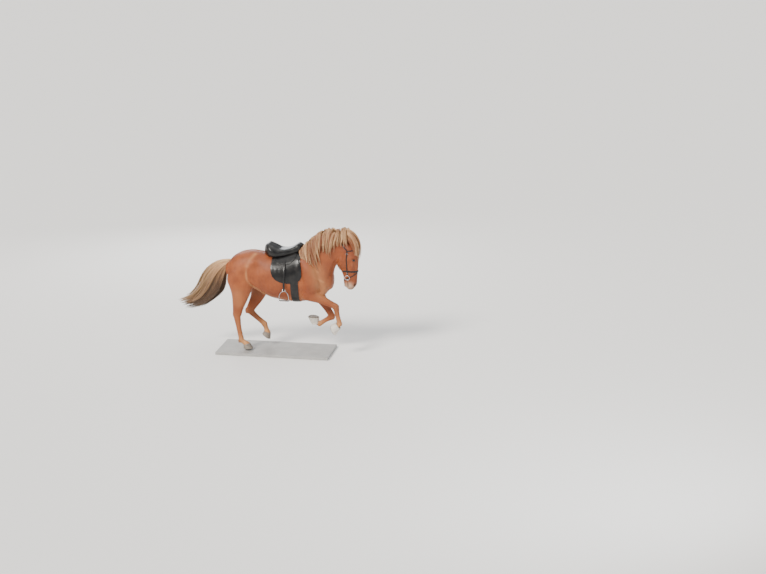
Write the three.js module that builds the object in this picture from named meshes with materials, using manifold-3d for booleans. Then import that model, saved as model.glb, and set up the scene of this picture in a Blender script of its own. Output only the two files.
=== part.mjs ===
// A life-size still model of a chestnut Icelandic horse in a one-beat canter stride, with its saddle and bridle.
// Millimetres, +Z up, the horse faces +X and its right side faces -Y.
import * as THREE from "three";
import { LoftGeometry } from "three/addons/geometries/LoftGeometry.js";
import { mergeVertices } from "three/addons/utils/BufferGeometryUtils.js";
import Module from "manifold-3d";

const wasm = await Module();
wasm.setup();

// Driving dimensions
const WITHERS = 1360; // height at the withers above the hoof on the ground
const BASE = { length: 1500, width: 620, thickness: 36, middle: -60 };
const GAP = 0.3; // between two nodes that touch
const CLEAR = 0.6; // between flesh and what lies on it

// Every station below is stated for a horse of this height and scales with WITHERS.
const DRAWN_WITHERS = 1360;
const K = WITHERS / DRAWN_WITHERS;

const model = new THREE.Group();
model.name = "icelandic_horse";
const horse = new THREE.Group();
horse.position.z = BASE.thickness + GAP;
model.add(horse);

// Materials
const finish = (color, roughness, metalness = 0) => new THREE.MeshStandardMaterial({ color, roughness, metalness });
const COAT = finish(0xa85d2c, 0.7);
const FLAXEN = finish(0xcfa878, 0.75);
const HORN = finish(0x8d857a, 0.55);
const EYE = finish(0x1c110b, 0.12);
const BELL_BOOT = finish(0xe6e6e2, 0.5);
const LEATHER = finish(0x17151a, 0.45);
const STEEL = finish(0xb9bcc0, 0.3, 1);
const BASE_PAINT = finish(0x8f8d88, 0.6);

// Solids from three.js geometries, and back
function solid(geometry) {
  const bare = new THREE.BufferGeometry().copy(geometry);
  bare.deleteAttribute("normal");
  bare.deleteAttribute("uv");
  const merged = mergeVertices(bare, 1e-3);
  const index = [];
  const source = merged.index.array;
  for (let i = 0; i < source.length; i += 3) {
    const [a, b, c] = [source[i], source[i + 1], source[i + 2]];
    if (a !== b && b !== c && a !== c) index.push(a, b, c);
  }
  const build = (triVerts) =>
    new wasm.Manifold(new wasm.Mesh({ numProp: 3, vertProperties: merged.attributes.position.array, triVerts }));
  const made = build(new Uint32Array(index));
  if (made.volume() >= 0) return made;
  const turned = [];
  for (let i = 0; i < index.length; i += 3) turned.push(index[i], index[i + 2], index[i + 1]);
  return build(new Uint32Array(turned));
}

function geometryOf(body) {
  const mesh = body.getMesh();
  const positions = new Float32Array(mesh.numVert * 3);
  for (let i = 0; i < mesh.numVert; i++)
    positions.set(mesh.vertProperties.subarray(i * mesh.numProp, i * mesh.numProp + 3), i * 3);
  return new THREE.BufferGeometry()
    .setAttribute("position", new THREE.BufferAttribute(positions, 3))
    .setIndex(new THREE.BufferAttribute(mesh.triVerts, 1));
}

const joined = (bodies) => bodies.reduce((all, next) => all.add(next));

function largest(body) {
  return body.decompose().reduce((best, next) => (next.volume() > best.volume() ? next : best));
}

function place(name, body, material, group = horse) {
  const mesh = new THREE.Mesh(geometryOf(largest(body)), material);
  mesh.name = name;
  group.add(mesh);
  return mesh;
}

// Curves through hand-set stations: every number of a station is interpolated alike
function between(rows, position) {
  const last = rows.length - 1;
  const i = Math.min(Math.floor(position), last - 1);
  const t = position - i;
  const [before, from, to, after] = [i - 1, i, i + 1, i + 2].map((k) => rows[Math.max(0, Math.min(last, k))]);
  return from.map((p1, k) => {
    const [p0, p2, p3] = [before[k], to[k], after[k]];
    return 0.5 * (2 * p1 + (p2 - p0) * t + (2 * p0 - 5 * p1 + 4 * p2 - p3) * t * t + (3 * p1 - p0 - 3 * p2 + p3) * t ** 3);
  });
}

// A ring across a limb: the heading is in degrees above +X in the XZ plane, w is the half width,
// f the half depth on the front or upper side and b the half depth behind or below.
function ringPoint([x, y, z, heading, w, f, b], angle, square, grow = 0) {
  const a = THREE.MathUtils.degToRad(heading);
  const power = 2 / square;
  const c = Math.sign(Math.cos(angle)) * Math.abs(Math.cos(angle)) ** power;
  const s = Math.sign(Math.sin(angle)) * Math.abs(Math.sin(angle)) ** power;
  const depth = (s > 0 ? f * K : b * K) + grow;
  return new THREE.Vector3(
    x * K - Math.sin(a) * depth * s,
    y * K + (w * K + grow) * c,
    z * K + Math.cos(a) * depth * s,
  );
}

const ENDS = [0.45, 0.8]; // the share of the full ring at the two rings that round an end off
const END_REACH = [0.5, 0.34];

function loft(rows, { sides = 16, steps = 2, square = 2.2, grow = 0 } = {}) {
  const rings = [];
  for (let k = 0; k <= (rows.length - 1) * steps; k++) rings.push(between(rows, k / steps));
  const endRing = (row, direction, share, reach) => {
    const a = THREE.MathUtils.degToRad(row[3]);
    const out = direction * (reach * Math.min(row[4], row[5], row[6]) + grow / K);
    const shrunk = row.map((value, i) => (i > 3 ? value * share : value));
    return [shrunk[0] + out * Math.cos(a), shrunk[1], shrunk[2] + out * Math.sin(a), ...shrunk.slice(3)];
  };
  const first = rings[0];
  const last = rings[rings.length - 1];
  rings.unshift(...ENDS.map((share, i) => endRing(first, -1, share, END_REACH[i])));
  rings.push(...ENDS.map((share, i) => endRing(last, 1, share, END_REACH[i])).reverse());
  const sections = rings.map((ring) =>
    Array.from({ length: sides }, (_, i) => ringPoint(ring, (i / sides) * Math.PI * 2, square, grow)),
  );
  return solid(new LoftGeometry(sections, { capStart: true, capEnd: true }));
}

const mirrored = (rows) => rows.map((row) => row.map((value, i) => (i === 1 ? -value : value)));

function ball([x, y, z], [rx, ry, rz], grow = 0, turn = 0, detail = [14, 10]) {
  const geometry = new THREE.SphereGeometry(1, ...detail);
  geometry.scale(rx * K + grow, ry * K + grow, rz * K + grow);
  geometry.rotateY(THREE.MathUtils.degToRad(turn));
  geometry.translate(x * K, y * K, z * K);
  return solid(geometry);
}

function block([x, y, z], [lx, ly, lz], turn = 0) {
  const geometry = new THREE.BoxGeometry(lx * K, ly * K, lz * K);
  geometry.rotateY(THREE.MathUtils.degToRad(turn));
  geometry.translate(x * K, y * K, z * K);
  return solid(geometry);
}

// Trunk: heading 0, so f is above the centre and b below it
const TRUNK = [
  [-668, 0, 1070, 0, 118, 92, 110],
  [-610, 0, 1060, 0, 190, 175, 160],
  [-530, 0, 1052, 0, 226, 232, 205],
  [-440, 0, 1050, 0, 242, 264, 238],
  [-340, 0, 1050, 0, 244, 274, 232],
  [-230, 0, 1036, 0, 250, 275, 274],
  [-100, 0, 1000, 0, 264, 294, 292],
  [40, 0, 985, 0, 268, 302, 306],
  [180, 0, 985, 0, 252, 324, 322],
  [300, 0, 1000, 0, 222, 352, 334],
  [400, 0, 1010, 0, 202, 342, 322],
  [500, 0, 1010, 0, 192, 290, 292],
  [600, 0, 990, 0, 168, 200, 226],
  [655, 0, 970, 0, 125, 130, 150],
];
const NECK = [
  [470, 0, 1090, 42, 190, 270, 270],
  [522, 0, 1132, 37.7, 178, 288, 284],
  [588, 0, 1234, 29.5, 142, 258, 254],
  [660, 0, 1317, 18, 112, 232, 224],
  [728, 0, 1358, 8, 96, 202, 196],
  [800, 0, 1360, 0, 86, 164, 166],
  [862, 0, 1366, -6, 72, 128, 130],
];

// Head: heading near -90, so f is the face and b the jaw
const SKULL = [
  [884, 0, 1462, -84, 62, 70, 66],
  [896, 0, 1420, -86, 84, 98, 96],
  [912, 0, 1346, -88, 101, 128, 118],
  [920, 0, 1262, -90, 104, 130, 108],
  [934, 0, 1180, -92, 85, 110, 94],
  [944, 0, 1090, -93, 68, 94, 84],
  [946, 0, 1000, -93, 58, 84, 78],
  [944, 0, 936, -92, 59, 82, 74],
  [940, 0, 892, -90, 54, 68, 64],
  [938, 0, 868, -88, 42, 48, 48],
];
const JAW = [
  [830, 0, 1330, -78, 66, 62, 66],
  [842, 0, 1255, -76, 74, 84, 88],
  [858, 0, 1175, -74, 66, 76, 82],
  [884, 0, 1090, -74, 50, 58, 62],
  [898, 0, 1005, -78, 42, 50, 52],
  [902, 0, 930, -86, 42, 44, 46],
  [906, 0, 893, -92, 36, 34, 36],
];

// Joints of the legs: the right side is at negative y
const RIGHT_FORE = { elbow: [398, -128, 812], knee: [772, -142, 648], fetlock: [822, -138, 414], coronet: [765, -138, 366], hoofPitch: -66 };
const LEFT_FORE = { elbow: [440, 128, 800], knee: [668, 134, 432], fetlock: [494, 128, 322], coronet: [432, 128, 372], hoofPitch: -182 };
const RIGHT_HIND = { hock: [-550, -126, 458], fetlock: [-497, -122, 124], coronet: [-428, -122, 76], hoofPitch: 0 };
const LEFT_HIND = { hock: [-444, 124, 470], fetlock: [-243, 130, 292], coronet: [-212, 130, 178], hoofPitch: -34 };

const THIGH_RIGHT = [
  [-520, -118, 1080, -80, 112, 170, 140],
  [-505, -142, 960, -84, 108, 172, 168],
  [-488, -150, 850, -90, 94, 156, 150],
  [-496, -146, 735, -94, 74, 120, 118],
  [-522, -138, 620, -98, 58, 88, 88],
  [-536, -131, 540, -98, 46, 68, 74],
  [-548, -127, 470, -96, 42, 60, 64],
];
const THIGH_LEFT = [
  [-500, 118, 1080, -68, 112, 170, 140],
  [-430, 142, 960, -62, 108, 168, 160],
  [-352, 152, 850, -76, 94, 144, 146],
  [-318, 148, 742, -96, 76, 114, 118],
  [-352, 140, 640, -116, 58, 88, 90],
  [-392, 131, 560, -120, 46, 68, 74],
  [-432, 125, 492, -118, 42, 58, 62],
];

// A segment between two joints, with a profile of [share of its length, half width, front, behind]
function segment(from, to, profile) {
  const heading = THREE.MathUtils.radToDeg(Math.atan2(to[2] - from[2], to[0] - from[0]));
  return profile.map(([share, w, f, b]) => [
    ...[0, 1, 2].map((k) => from[k] + (to[k] - from[k]) * share),
    heading,
    w,
    f,
    b,
  ]);
}

const FOREARM = [[-0.05, 84, 106, 114], [0.18, 74, 92, 92], [0.42, 60, 70, 68], [0.68, 47, 52, 50], [0.9, 42, 45, 45], [1, 44, 46, 47]];
const FORE_CANNON = [[-0.02, 42, 46, 44], [0.18, 38, 38, 44], [0.38, 30, 30, 42], [0.62, 28, 28, 40], [0.85, 32, 31, 40], [1, 37, 36, 42]];
const HIND_CANNON = [[-0.04, 40, 50, 54], [0.16, 36, 42, 52], [0.36, 30, 33, 48], [0.64, 29, 31, 44], [0.86, 32, 34, 42], [1, 38, 38, 44]];
const PASTERN = [[-0.1, 37, 35, 38], [0.4, 33, 32, 35], [0.8, 37, 36, 38], [1, 42, 40, 40]];

const LOFT_LEG = { sides: 10, steps: 1, square: 2.3 };
const grown = (options, grow) => ({ ...options, grow });

function foreLeg({ elbow, knee, fetlock, coronet }, grow = 0) {
  const options = grown(LOFT_LEG, grow);
  return joined([
    loft(segment(elbow, knee, FOREARM), options),
    loft(segment(knee, fetlock, FORE_CANNON), options),
    loft(segment(fetlock, coronet, PASTERN), grown({ ...LOFT_LEG, steps: 1 }, grow)),
  ]);
}

function hindLeg(thigh, { hock, fetlock, coronet }, grow = 0) {
  const options = grown(LOFT_LEG, grow);
  const along = new THREE.Vector3(...fetlock).sub(new THREE.Vector3(...hock)).normalize();
  const behind = new THREE.Vector3(along.z, 0, -along.x);
  const middle = new THREE.Vector3(...hock).addScaledVector(along, -34).addScaledVector(behind, 42);
  return joined([
    loft(thigh, { ...options, sides: 14 }),
    loft(segment(hock, fetlock, HIND_CANNON), options),
    ball(middle.toArray(), [26, 24, 36], grow, 0, [10, 6]),
    loft(segment(fetlock, coronet, PASTERN), grown({ ...LOFT_LEG, steps: 1 }, grow)),
  ]);
}

const LOFT_TRUNK = { sides: 22, steps: 1, square: 2.25 };
const LOFT_NECK = { sides: 18, steps: 1, square: 2.15 };
const LOFT_HEAD = { sides: 14, steps: 1, square: 2.3 };

const trunkBody = (grow = 0) => loft(TRUNK, grown(LOFT_TRUNK, grow));
const neckBody = (grow = 0) => loft(NECK, grown(LOFT_NECK, grow));

// Muscle masses that stand out of the trunk, on the right side
const SHOULDER = [
  [330, -104, 1236, -58, 92, 92, 92],
  [392, -118, 1130, -62, 112, 118, 120],
  [440, -126, 1020, -70, 116, 124, 132],
  [462, -130, 920, -96, 106, 112, 122],
  [428, -130, 836, -128, 88, 92, 96],
];
const BREAST = [[520, -62, 1010, -70, 96, 112, 110], [580, -64, 900, -78, 96, 92, 100], [576, -66, 812, -96, 76, 66, 90]];
const LOFT_MUSCLE = { sides: 12, steps: 1, square: 2.1 };

function muscles(grow = 0) {
  return joined(
    [SHOULDER, BREAST].flatMap((rows) => [
      loft(rows, grown(LOFT_MUSCLE, grow)),
      loft(mirrored(rows), grown(LOFT_MUSCLE, grow)),
    ]),
  );
}

function headBody(grow = 0) {
  const options = grown(LOFT_HEAD, grow);
  return joined([
    loft(SKULL, options),
    loft(JAW, options),
    ...[-1, 1].flatMap((side) => [
      ball([850, side * 52, 1232], [86, 38, 92], grow, 0), // cheek
      ball([966, side * 78, 1292], [44, 24, 22], grow, 14), // brow
      ball([984, side * 44, 930], [34, 20, 34], grow, 20), // nostril wing
    ]),
  ]);
}


// Hooves, drawn on the ground with the toe forward, then set at the coronet: [height, middle, half length, half width, front lift]
const HOOF = [[0, 5, 62, 57, 0], [30, -3, 55, 52, 2], [54, -14, 48, 47, 12], [60, -16, 40, 40, 12]];
const BOOT = [[9, 4, 74, 70, 0], [44, -5, 63, 61, 3], [76, -16, 54, 52, 8], [100, -24, 48, 46, 10]];
const CORONET = [-14, 0, 56];

function cup(rows, leg, grow = 0, sides = 12) {
  const sections = rows.map(([height, middle, length, width, lift], level) =>
    Array.from({ length: sides }, (_, i) => {
      const angle = (i / sides) * Math.PI * 2;
      const end = level === 0 ? -1 : level === rows.length - 1 ? 1 : 0;
      return new THREE.Vector3(
        (middle + Math.cos(angle) * length) * K + Math.cos(angle) * grow,
        Math.sin(angle) * width * K + Math.sin(angle) * grow,
        (height + Math.cos(angle) * lift) * K + end * grow,
      );
    }),
  );
  const pitch = THREE.MathUtils.degToRad(leg.hoofPitch);
  const turn = new THREE.Matrix4().makeRotationY(-pitch);
  const at = new THREE.Vector3(...leg.coronet).multiplyScalar(K);
  at.sub(new THREE.Vector3(...CORONET).multiplyScalar(K).applyMatrix4(turn));
  const geometry = new LoftGeometry(sections, { capStart: true, capEnd: true });
  return solid(geometry.applyMatrix4(turn).applyMatrix4(new THREE.Matrix4().makeTranslation(at)));
}

// A box cutter that starts at a point and runs along a heading: x along, y across, z to the front
function cutter([px, py, pz], heading, [x0, x1], [y0, y1], [z0, z1], grow) {
  const geometry = new THREE.BoxGeometry(x1 - x0 + 2 * grow, y1 - y0 + 2 * grow, z1 - z0 + 2 * grow);
  geometry.translate((x0 + x1) / 2, (y0 + y1) / 2, (z0 + z1) / 2);
  geometry.rotateY(-THREE.MathUtils.degToRad(heading));
  geometry.translate(px, py, pz);
  geometry.scale(K, K, K);
  return solid(geometry);
}

// Takes one piece out of a body: [the piece, the rest]
function carve(body, ...where) {
  return [body.intersect(cutter(...where, 0)), body.subtract(cutter(...where, GAP))];
}

const whole = joined([
  trunkBody(),
  muscles(),
  neckBody(),
  headBody(),
  foreLeg(RIGHT_FORE),
  foreLeg(LEFT_FORE),
  hindLeg(THIGH_RIGHT, RIGHT_HIND),
  hindLeg(THIGH_LEFT, LEFT_HIND),
]);

const FAR = 1200;
const NECK_CUT = { at: [345, 0, 1360], heading: 47 };
const HEAD_CUT = { at: [795, 0, 1520], heading: -7.5 };
let [front, rest] = carve(whole, NECK_CUT.at, NECK_CUT.heading, [0, FAR], [-FAR, FAR], [-FAR, FAR]);
const [headFlesh, neckFlesh] = carve(front, HEAD_CUT.at, HEAD_CUT.heading, [0, FAR], [-FAR, FAR], [-FAR, FAR]);

// Legs: where each leaves the body, then its lower segments
const pointOn = (a, b, share) => a.map((value, k) => value + (b[k] - value) * share);
const headingOf = (a, b) => THREE.MathUtils.radToDeg(Math.atan2(b[2] - a[2], b[0] - a[0]));

function lowerLeg(name, leg, from, jointName, body) {
  const hoof = cup(HOOF, leg);
  place("hoof_" + name, hoof, HORN);
  const shank = headingOf(leg[from], leg.fetlock);
  const [below, upper] = carve(body, pointOn(leg[from], leg.fetlock, 0.17), shank, [0, 420], [-75, 75], [-150, 110]);
  const foot = headingOf(leg.fetlock, leg.coronet);
  const [pastern, cannon] = carve(below, pointOn(leg.fetlock, leg.coronet, 0.28), foot, [0, 200], [-70, 70], [-75, 75]);
  place(jointName + "_" + name + "_upper", upper, COAT);
  place(jointName + "_" + name + "_cannon", cannon, COAT);
  place(jointName + "_" + name + "_pastern", pastern.subtract(cup(HOOF, leg, GAP)), COAT);
  return pastern;
}

const LEGS = [
  ["fore_right", RIGHT_FORE, "knee", [555, 0, 743], -23.7, [0, 640], [-300, -24], [-560, 64]],
  ["fore_left", LEFT_FORE, "knee", [508, 0, 690], -58.2, [0, 640], [24, 300], [-420, 300]],
  ["hind_right", RIGHT_HIND, "hock", [-490, 0, 800], -90, [0, 900], [-300, -14], [-280, 200]],
  ["hind_left", LEFT_HIND, "hock", [-340, 0, 790], -100, [0, 900], [14, 300], [-300, 300]],
];
for (const [name, leg, from, at, heading, ...extent] of LEGS) {
  const [piece, left] = carve(rest, at, heading, ...extent);
  rest = left;
  lowerLeg(name, leg, from, "leg", largest(piece));
}
place("torso", rest, COAT);

// Bell boots of the forelegs, close round hoof and pastern
for (const [name, leg] of [["right", RIGHT_FORE], ["left", LEFT_FORE]]) {
  const boot = cup(BOOT, leg).subtract(cup(HOOF, leg, CLEAR)).subtract(foreLeg(leg, CLEAR));
  place("bell_boot_" + name, boot, BELL_BOOT);
}

// Eyes, lids, nostrils, mouth
const EYE_AT = [990, 76, 1256];
const EYE_RADIUS = 21;
let head = headFlesh;
const eyes = [];
for (const [name, side] of [["right", -1], ["left", 1]]) {
  const at = [EYE_AT[0], EYE_AT[1] * side, EYE_AT[2]];
  const lid = ball(at, Array(3).fill(EYE_RADIUS + 5), 0, 0, [10, 7]);
  const opening = ball([EYE_AT[0] + 3, (EYE_AT[1] + 26) * side, EYE_AT[2]], [21, 24, 12], 0, 24, [10, 5]);
  head = head.add(lid).subtract(ball(at, Array(3).fill(EYE_RADIUS), GAP, 0, [12, 8])).subtract(opening);
  head = head.subtract(ball([998, 60 * side, 926], [16, 15, 10], 0, 50, [8, 5]));
  eyes.push([name, ball(at, Array(3).fill(EYE_RADIUS), 0, 0, [12, 8])]);
}
const MOUTH = cutter([902, 0, 1004], -82, [0, 200], [-300, 300], [-1.6, 1.6], 0);
const MOUTH_CORE = cutter([902, 0, 1004], -82, [-20, 96], [-34, 34], [-60, 60], 0);
head = head
  .add(ball([884, 0, 902], [34, 34, 28], 0, 0, [12, 8]))
  .subtract(MOUTH.subtract(MOUTH_CORE));

// Ears: cupped, laid back a little in the wind of the ride
const EAR = [
  [890, 46, 1470, 108, 25, 25, 25],
  [880, 54, 1508, 112, 32, 22, 22],
  [864, 62, 1548, 120, 30, 18, 18],
  [842, 67, 1584, 126, 18, 12, 12],
  [828, 68, 1604, 130, 5, 4, 4],
];
const EAR_WALL = 5;
const ears = [];
for (const [name, side] of [["right", -1], ["left", 1]]) {
  const rows = EAR.map((row) => row.map((value, i) => (i === 1 ? value * side : value)));
  const hollow = rows.slice(1).map(([x, y, z, heading, w, f, b]) => {
    const a = THREE.MathUtils.degToRad(heading);
    return [x + Math.sin(a) * 13, y + side * 4, z - Math.cos(a) * 13, heading, Math.max(w - EAR_WALL, 2), f, b];
  });
  const options = { sides: 8, steps: 1, square: 2.1 };
  ears.push([name, loft(rows, options).subtract(loft(hollow, options)).subtract(headBody(3 * GAP)).subtract(neckBody(3 * GAP))]);
}
for (const [name, eye] of eyes) place("eye_" + name, eye, EYE);

// Tack lies on the grown shape of what carries it
const bodyShell = (inner, outer) =>
  joined([trunkBody(outer), muscles(outer), neckBody(outer)]).subtract(joined([trunkBody(inner), muscles(inner), neckBody(inner)]));

// Saddle: flaps against the ribs, a seat on them, a girth under the chest
const FLAP = { front: 338, rear: -62, top: 1300, bottom: 956, corner: 120, thickness: 11 };
const GIRTH = { middle: 243, width: 96, thickness: 9 };

function flapOutline() {
  const { front: f, rear: r, top, bottom, corner } = FLAP;
  const shape = new THREE.Shape();
  shape.moveTo(r, top);
  shape.lineTo(r, bottom + 190);
  shape.bezierCurveTo(r + 4, bottom + 60, r + 90, bottom, r + 90 + corner, bottom);
  shape.lineTo(f - 90, bottom);
  shape.bezierCurveTo(f - 20, bottom, f, bottom + 70, f, bottom + 150);
  shape.lineTo(f - 30, top);
  shape.closePath();
  return shape;
}

const TACK_SIDE = [["right", -1], ["left", 1]];
const flapShell = bodyShell(CLEAR, FLAP.thickness);
const seatBed = joined([trunkBody(FLAP.thickness + GAP), muscles(FLAP.thickness + GAP), neckBody(FLAP.thickness + GAP)]);
for (const [name, side] of TACK_SIDE) {
  const depth = 360;
  const prism = new THREE.ExtrudeGeometry(flapOutline(), { depth, bevelEnabled: false, curveSegments: 6 });
  prism.rotateX(Math.PI / 2);
  prism.translate(0, side < 0 ? -34 : depth + 34, 0);
  prism.scale(K, K, K);
  place("saddle_flap_" + name, flapShell.intersect(solid(prism)), LEATHER);
}
const SEAT = [
  [300, 0, 1385, 0, 70, 52, 60],
  [262, 0, 1380, 0, 92, 64, 80],
  [190, 0, 1350, 0, 100, 48, 76],
  [110, 0, 1322, 0, 122, 54, 70],
  [20, 0, 1312, 0, 158, 62, 70],
  [-60, 0, 1322, 0, 172, 88, 80],
  [-120, 0, 1336, 0, 150, 100, 70],
  [-150, 0, 1340, 0, 110, 84, 60],
];
const seatBody = (grow = 0) => loft(SEAT.toReversed(), { sides: 18, steps: 1, square: 2.4, grow });
place("saddle_seat", seatBody().subtract(seatBed), LEATHER);
const girthSlab = block([GIRTH.middle, 0, 700], [GIRTH.width, 900, 2 * (FLAP.bottom - 700) - 1.2]);
place("saddle_girth", bodyShell(CLEAR, GIRTH.thickness).intersect(girthSlab), LEATHER);

// A flat band or lock through points, with the way its flat side faces at each of them
function blade(points, facing, widths, thicknesses, grow = 0) {
  const at = points.map((point) => new THREE.Vector3(...point).multiplyScalar(K));
  const sections = at.map((point, i) => {
    const along = at[Math.min(i + 1, at.length - 1)].clone().sub(at[Math.max(i - 1, 0)]).normalize();
    const side = along.clone().cross(facing[i]).normalize();
    const out = along.clone().cross(side);
    const w = (widths[i] / 2) * K + grow;
    const t = (thicknesses[i] / 2) * K + grow;
    const shift = i === 0 ? -grow : i === at.length - 1 ? grow : 0;
    return [[w, 0], [0, t], [-w, 0], [0, -t]].map(([across, over]) =>
      point.clone().addScaledVector(along, shift).addScaledVector(side, across).addScaledVector(out, over),
    );
  });
  return solid(new LoftGeometry(sections, { capStart: true, capEnd: true }));
}

// Stirrups hang from under the seat, flat against the flaps
const STIRRUP = { x: 118, top: 866, height: 138, width: 128, y: 288, bar: 9, tread: 42 };
function stirrupIron(side) {
  const { x, top, height, width, y, bar, tread } = STIRRUP;
  const arch = (inset) => {
    const shape = new THREE.Shape();
    const half = width / 2 - inset;
    const low = top - height + inset;
    shape.moveTo(x - half, low);
    shape.lineTo(x - half, low + 20);
    shape.quadraticCurveTo(x - half + 6, top - 24, x - 17 + inset * 0.4, top - inset);
    shape.lineTo(x + 17 - inset * 0.4, top - inset);
    shape.quadraticCurveTo(x + half - 6, top - 24, x + half, low + 20);
    shape.lineTo(x + half, low);
    shape.closePath();
    return shape;
  };
  const plate = (shape, depth) => {
    const geometry = new THREE.ExtrudeGeometry(shape, { depth, bevelEnabled: false, curveSegments: 5 });
    geometry.rotateX(Math.PI / 2);
    geometry.translate(0, depth / 2 + y * side, 0);
    geometry.scale(K, K, K);
    return solid(geometry);
  };
  const ring = plate(arch(0), 14).subtract(plate(arch(bar), 30));
  return ring.add(block([x, y * side, top - height + 5], [width - 4, tread, 9]));
}
const LEATHER_AT = [1290, 1250, 1200, 1130, 1040, 990];
for (const [name, side] of TACK_SIDE) {
  const { x, top, y } = STIRRUP;
  const centre = between(TRUNK, 7.55);
  const out = FLAP.thickness + 5;
  const points = LEATHER_AT.map((z) => {
    const share = Math.min((z - centre[2]) / centre[5], 1);
    return [x, side * (out * (1 - 0.3 * share) + centre[4] * (1 - share ** 2.25) ** (1 / 2.25)), z + out * share];
  });
  points.push([x, side * y, 930], [x, side * y, top + 2]);
  const facing = points.map(() => new THREE.Vector3(0, side, 0));
  const strap = blade(points, facing, points.map(() => 27), points.map(() => 7));
  const cleared = strap.subtract(trunkBody(FLAP.thickness + GAP)).subtract(seatBody(GAP));
  place("stirrup_leather_" + name, cleared, LEATHER);
  place("stirrup_iron_" + name, stirrupIron(side), STEEL);
}

// Bridle: straps lie round the head as strips of its grown shape
const STRAP = { thickness: 6, wide: 22, narrow: 14 };
function strip([x0, z0], [x1, z1], width, grow = 0) {
  const heading = THREE.MathUtils.radToDeg(Math.atan2(z1 - z0, x1 - x0));
  return cutter([x0, 0, z0], heading, [0, Math.hypot(x1 - x0, z1 - z0)], [-240, 240], [-width / 2, width / 2], grow);
}
const headpieceStrips = (grow) =>
  joined([
    strip([800, 1560], [850, 1448], STRAP.wide, grow),
    strip([845, 1460], [906, 1384], STRAP.wide, grow),
    strip([907, 1400], [899, 1056], STRAP.narrow + 2, grow),
  ]);
const browStrip = (grow) => strip([914, 1374], [1130, 1392], STRAP.narrow, grow);
const noseStrip = (grow) => strip([760, 1098], [1080, 1098], STRAP.wide, grow);
const flashStrip = (grow) => strip([1070, 1094], [820, 960], STRAP.narrow - 2, grow);
const strapShell = largest(headBody(STRAP.thickness).add(neckBody(STRAP.thickness))).subtract(
  largest(headBody(CLEAR).add(neckBody(CLEAR))),
);

const BIT = { at: [907, 1020], ring: 31, wire: 4, y: 73 };
function bit(grow = 0) {
  const bar = new THREE.CylinderGeometry(7 * K + grow, 7 * K + grow, 2 * BIT.y * K + 2 * grow, 10);
  bar.translate((BIT.at[0] + 4) * K, 0, (BIT.at[1] - BIT.ring + 4) * K);
  const rings = [-1, 1].map((side) => {
    const ring = new THREE.TorusGeometry(BIT.ring * K, BIT.wire * K + grow, 6, 20);
    ring.rotateX(Math.PI / 2);
    ring.translate(BIT.at[0] * K, side * BIT.y * K, BIT.at[1] * K);
    return solid(ring);
  });
  return joined([solid(bar), ...rings]);
}
place("bridle_bit", bit(), STEEL);
const strap = (strips, ...over) => strapShell.intersect(strips(0)).subtract(joined([bit(GAP), ...over.map((other) => other(GAP))]));
place("bridle_headpiece", strap(headpieceStrips), LEATHER);
place("bridle_browband", strap(browStrip, headpieceStrips), LEATHER);
place("bridle_noseband", strap(noseStrip, headpieceStrips), LEATHER);
place("bridle_flash", strap(flashStrip, noseStrip, headpieceStrips), LEATHER);

// Mane, forelock and tail: tapered locks with their roots sunk in what they grow from
let draw = 20240;
function vary(low, high) {
  draw = (draw * 16807) % 2147483647;
  return low + (high - low) * (draw / 2147483647);
}
const LOCK_STATIONS = 5;
const along = Array.from({ length: LOCK_STATIONS }, (_, k) => k / (LOCK_STATIONS - 1));
const lockWidths = (wide) => [0.65, 1, 0.95, 0.7, 0.12].map((share) => share * wide);
const lockDepths = (deep) => [1, 1, 0.85, 0.6, 0.2].map((share) => share * deep);
const bladeOf = (lock, grow = 0) => blade(lock.points, lock.facing, lock.widths, lock.depths, grow);

// A mane lock rises off the crest, is swept back and falls on one side of the neck
const MANE_RISE = [-16, 0.86, 0.98, 0.56, 0.24];
function maneLock(station, side, fall, sweep, rise, wide) {
  const points = [];
  const facing = [];
  along.forEach((t, k) => {
    const row = between(NECK, Math.max(station - sweep * t ** 1.3, 0.02));
    const angle = THREE.MathUtils.degToRad(90 - side * (4 + (fall - 4) * t ** 1.25));
    const out = k === 0 ? MANE_RISE[0] : MANE_RISE[k] * rise;
    const near = ringPoint(row, angle, 2.15, out * K);
    points.push(near.clone().divideScalar(K).toArray());
    facing.push(ringPoint(row, angle, 2.15, (out + 20) * K).sub(near).normalize());
  });
  return { points, facing, widths: lockWidths(wide), depths: lockDepths(15) };
}
const MANE = { from: 0.5, to: 5.05, nearLocks: 22, farLocks: 7 };
const maneLocks = [];
for (let i = 0; i < MANE.nearLocks; i++) {
  const station = MANE.from + ((MANE.to - MANE.from) * (i + 0.5)) / MANE.nearLocks;
  const high = i % 2;
  const rise = (46 + 15 * station) * (high ? 1 : 0.55) + vary(-8, 8);
  const fall = (high ? 56 : 78) + vary(-8, 10);
  maneLocks.push(maneLock(station, -1, fall, vary(0.7, 1.15), rise, vary(58, 74)));
}
for (let i = 0; i < MANE.farLocks; i++) {
  const station = MANE.from + ((MANE.to - MANE.from) * (i + 0.5)) / MANE.farLocks;
  maneLocks.push(maneLock(station, 1, vary(46, 66), vary(0.5, 0.9), 34 + 9 * station, vary(70, 86)));
}

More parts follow.
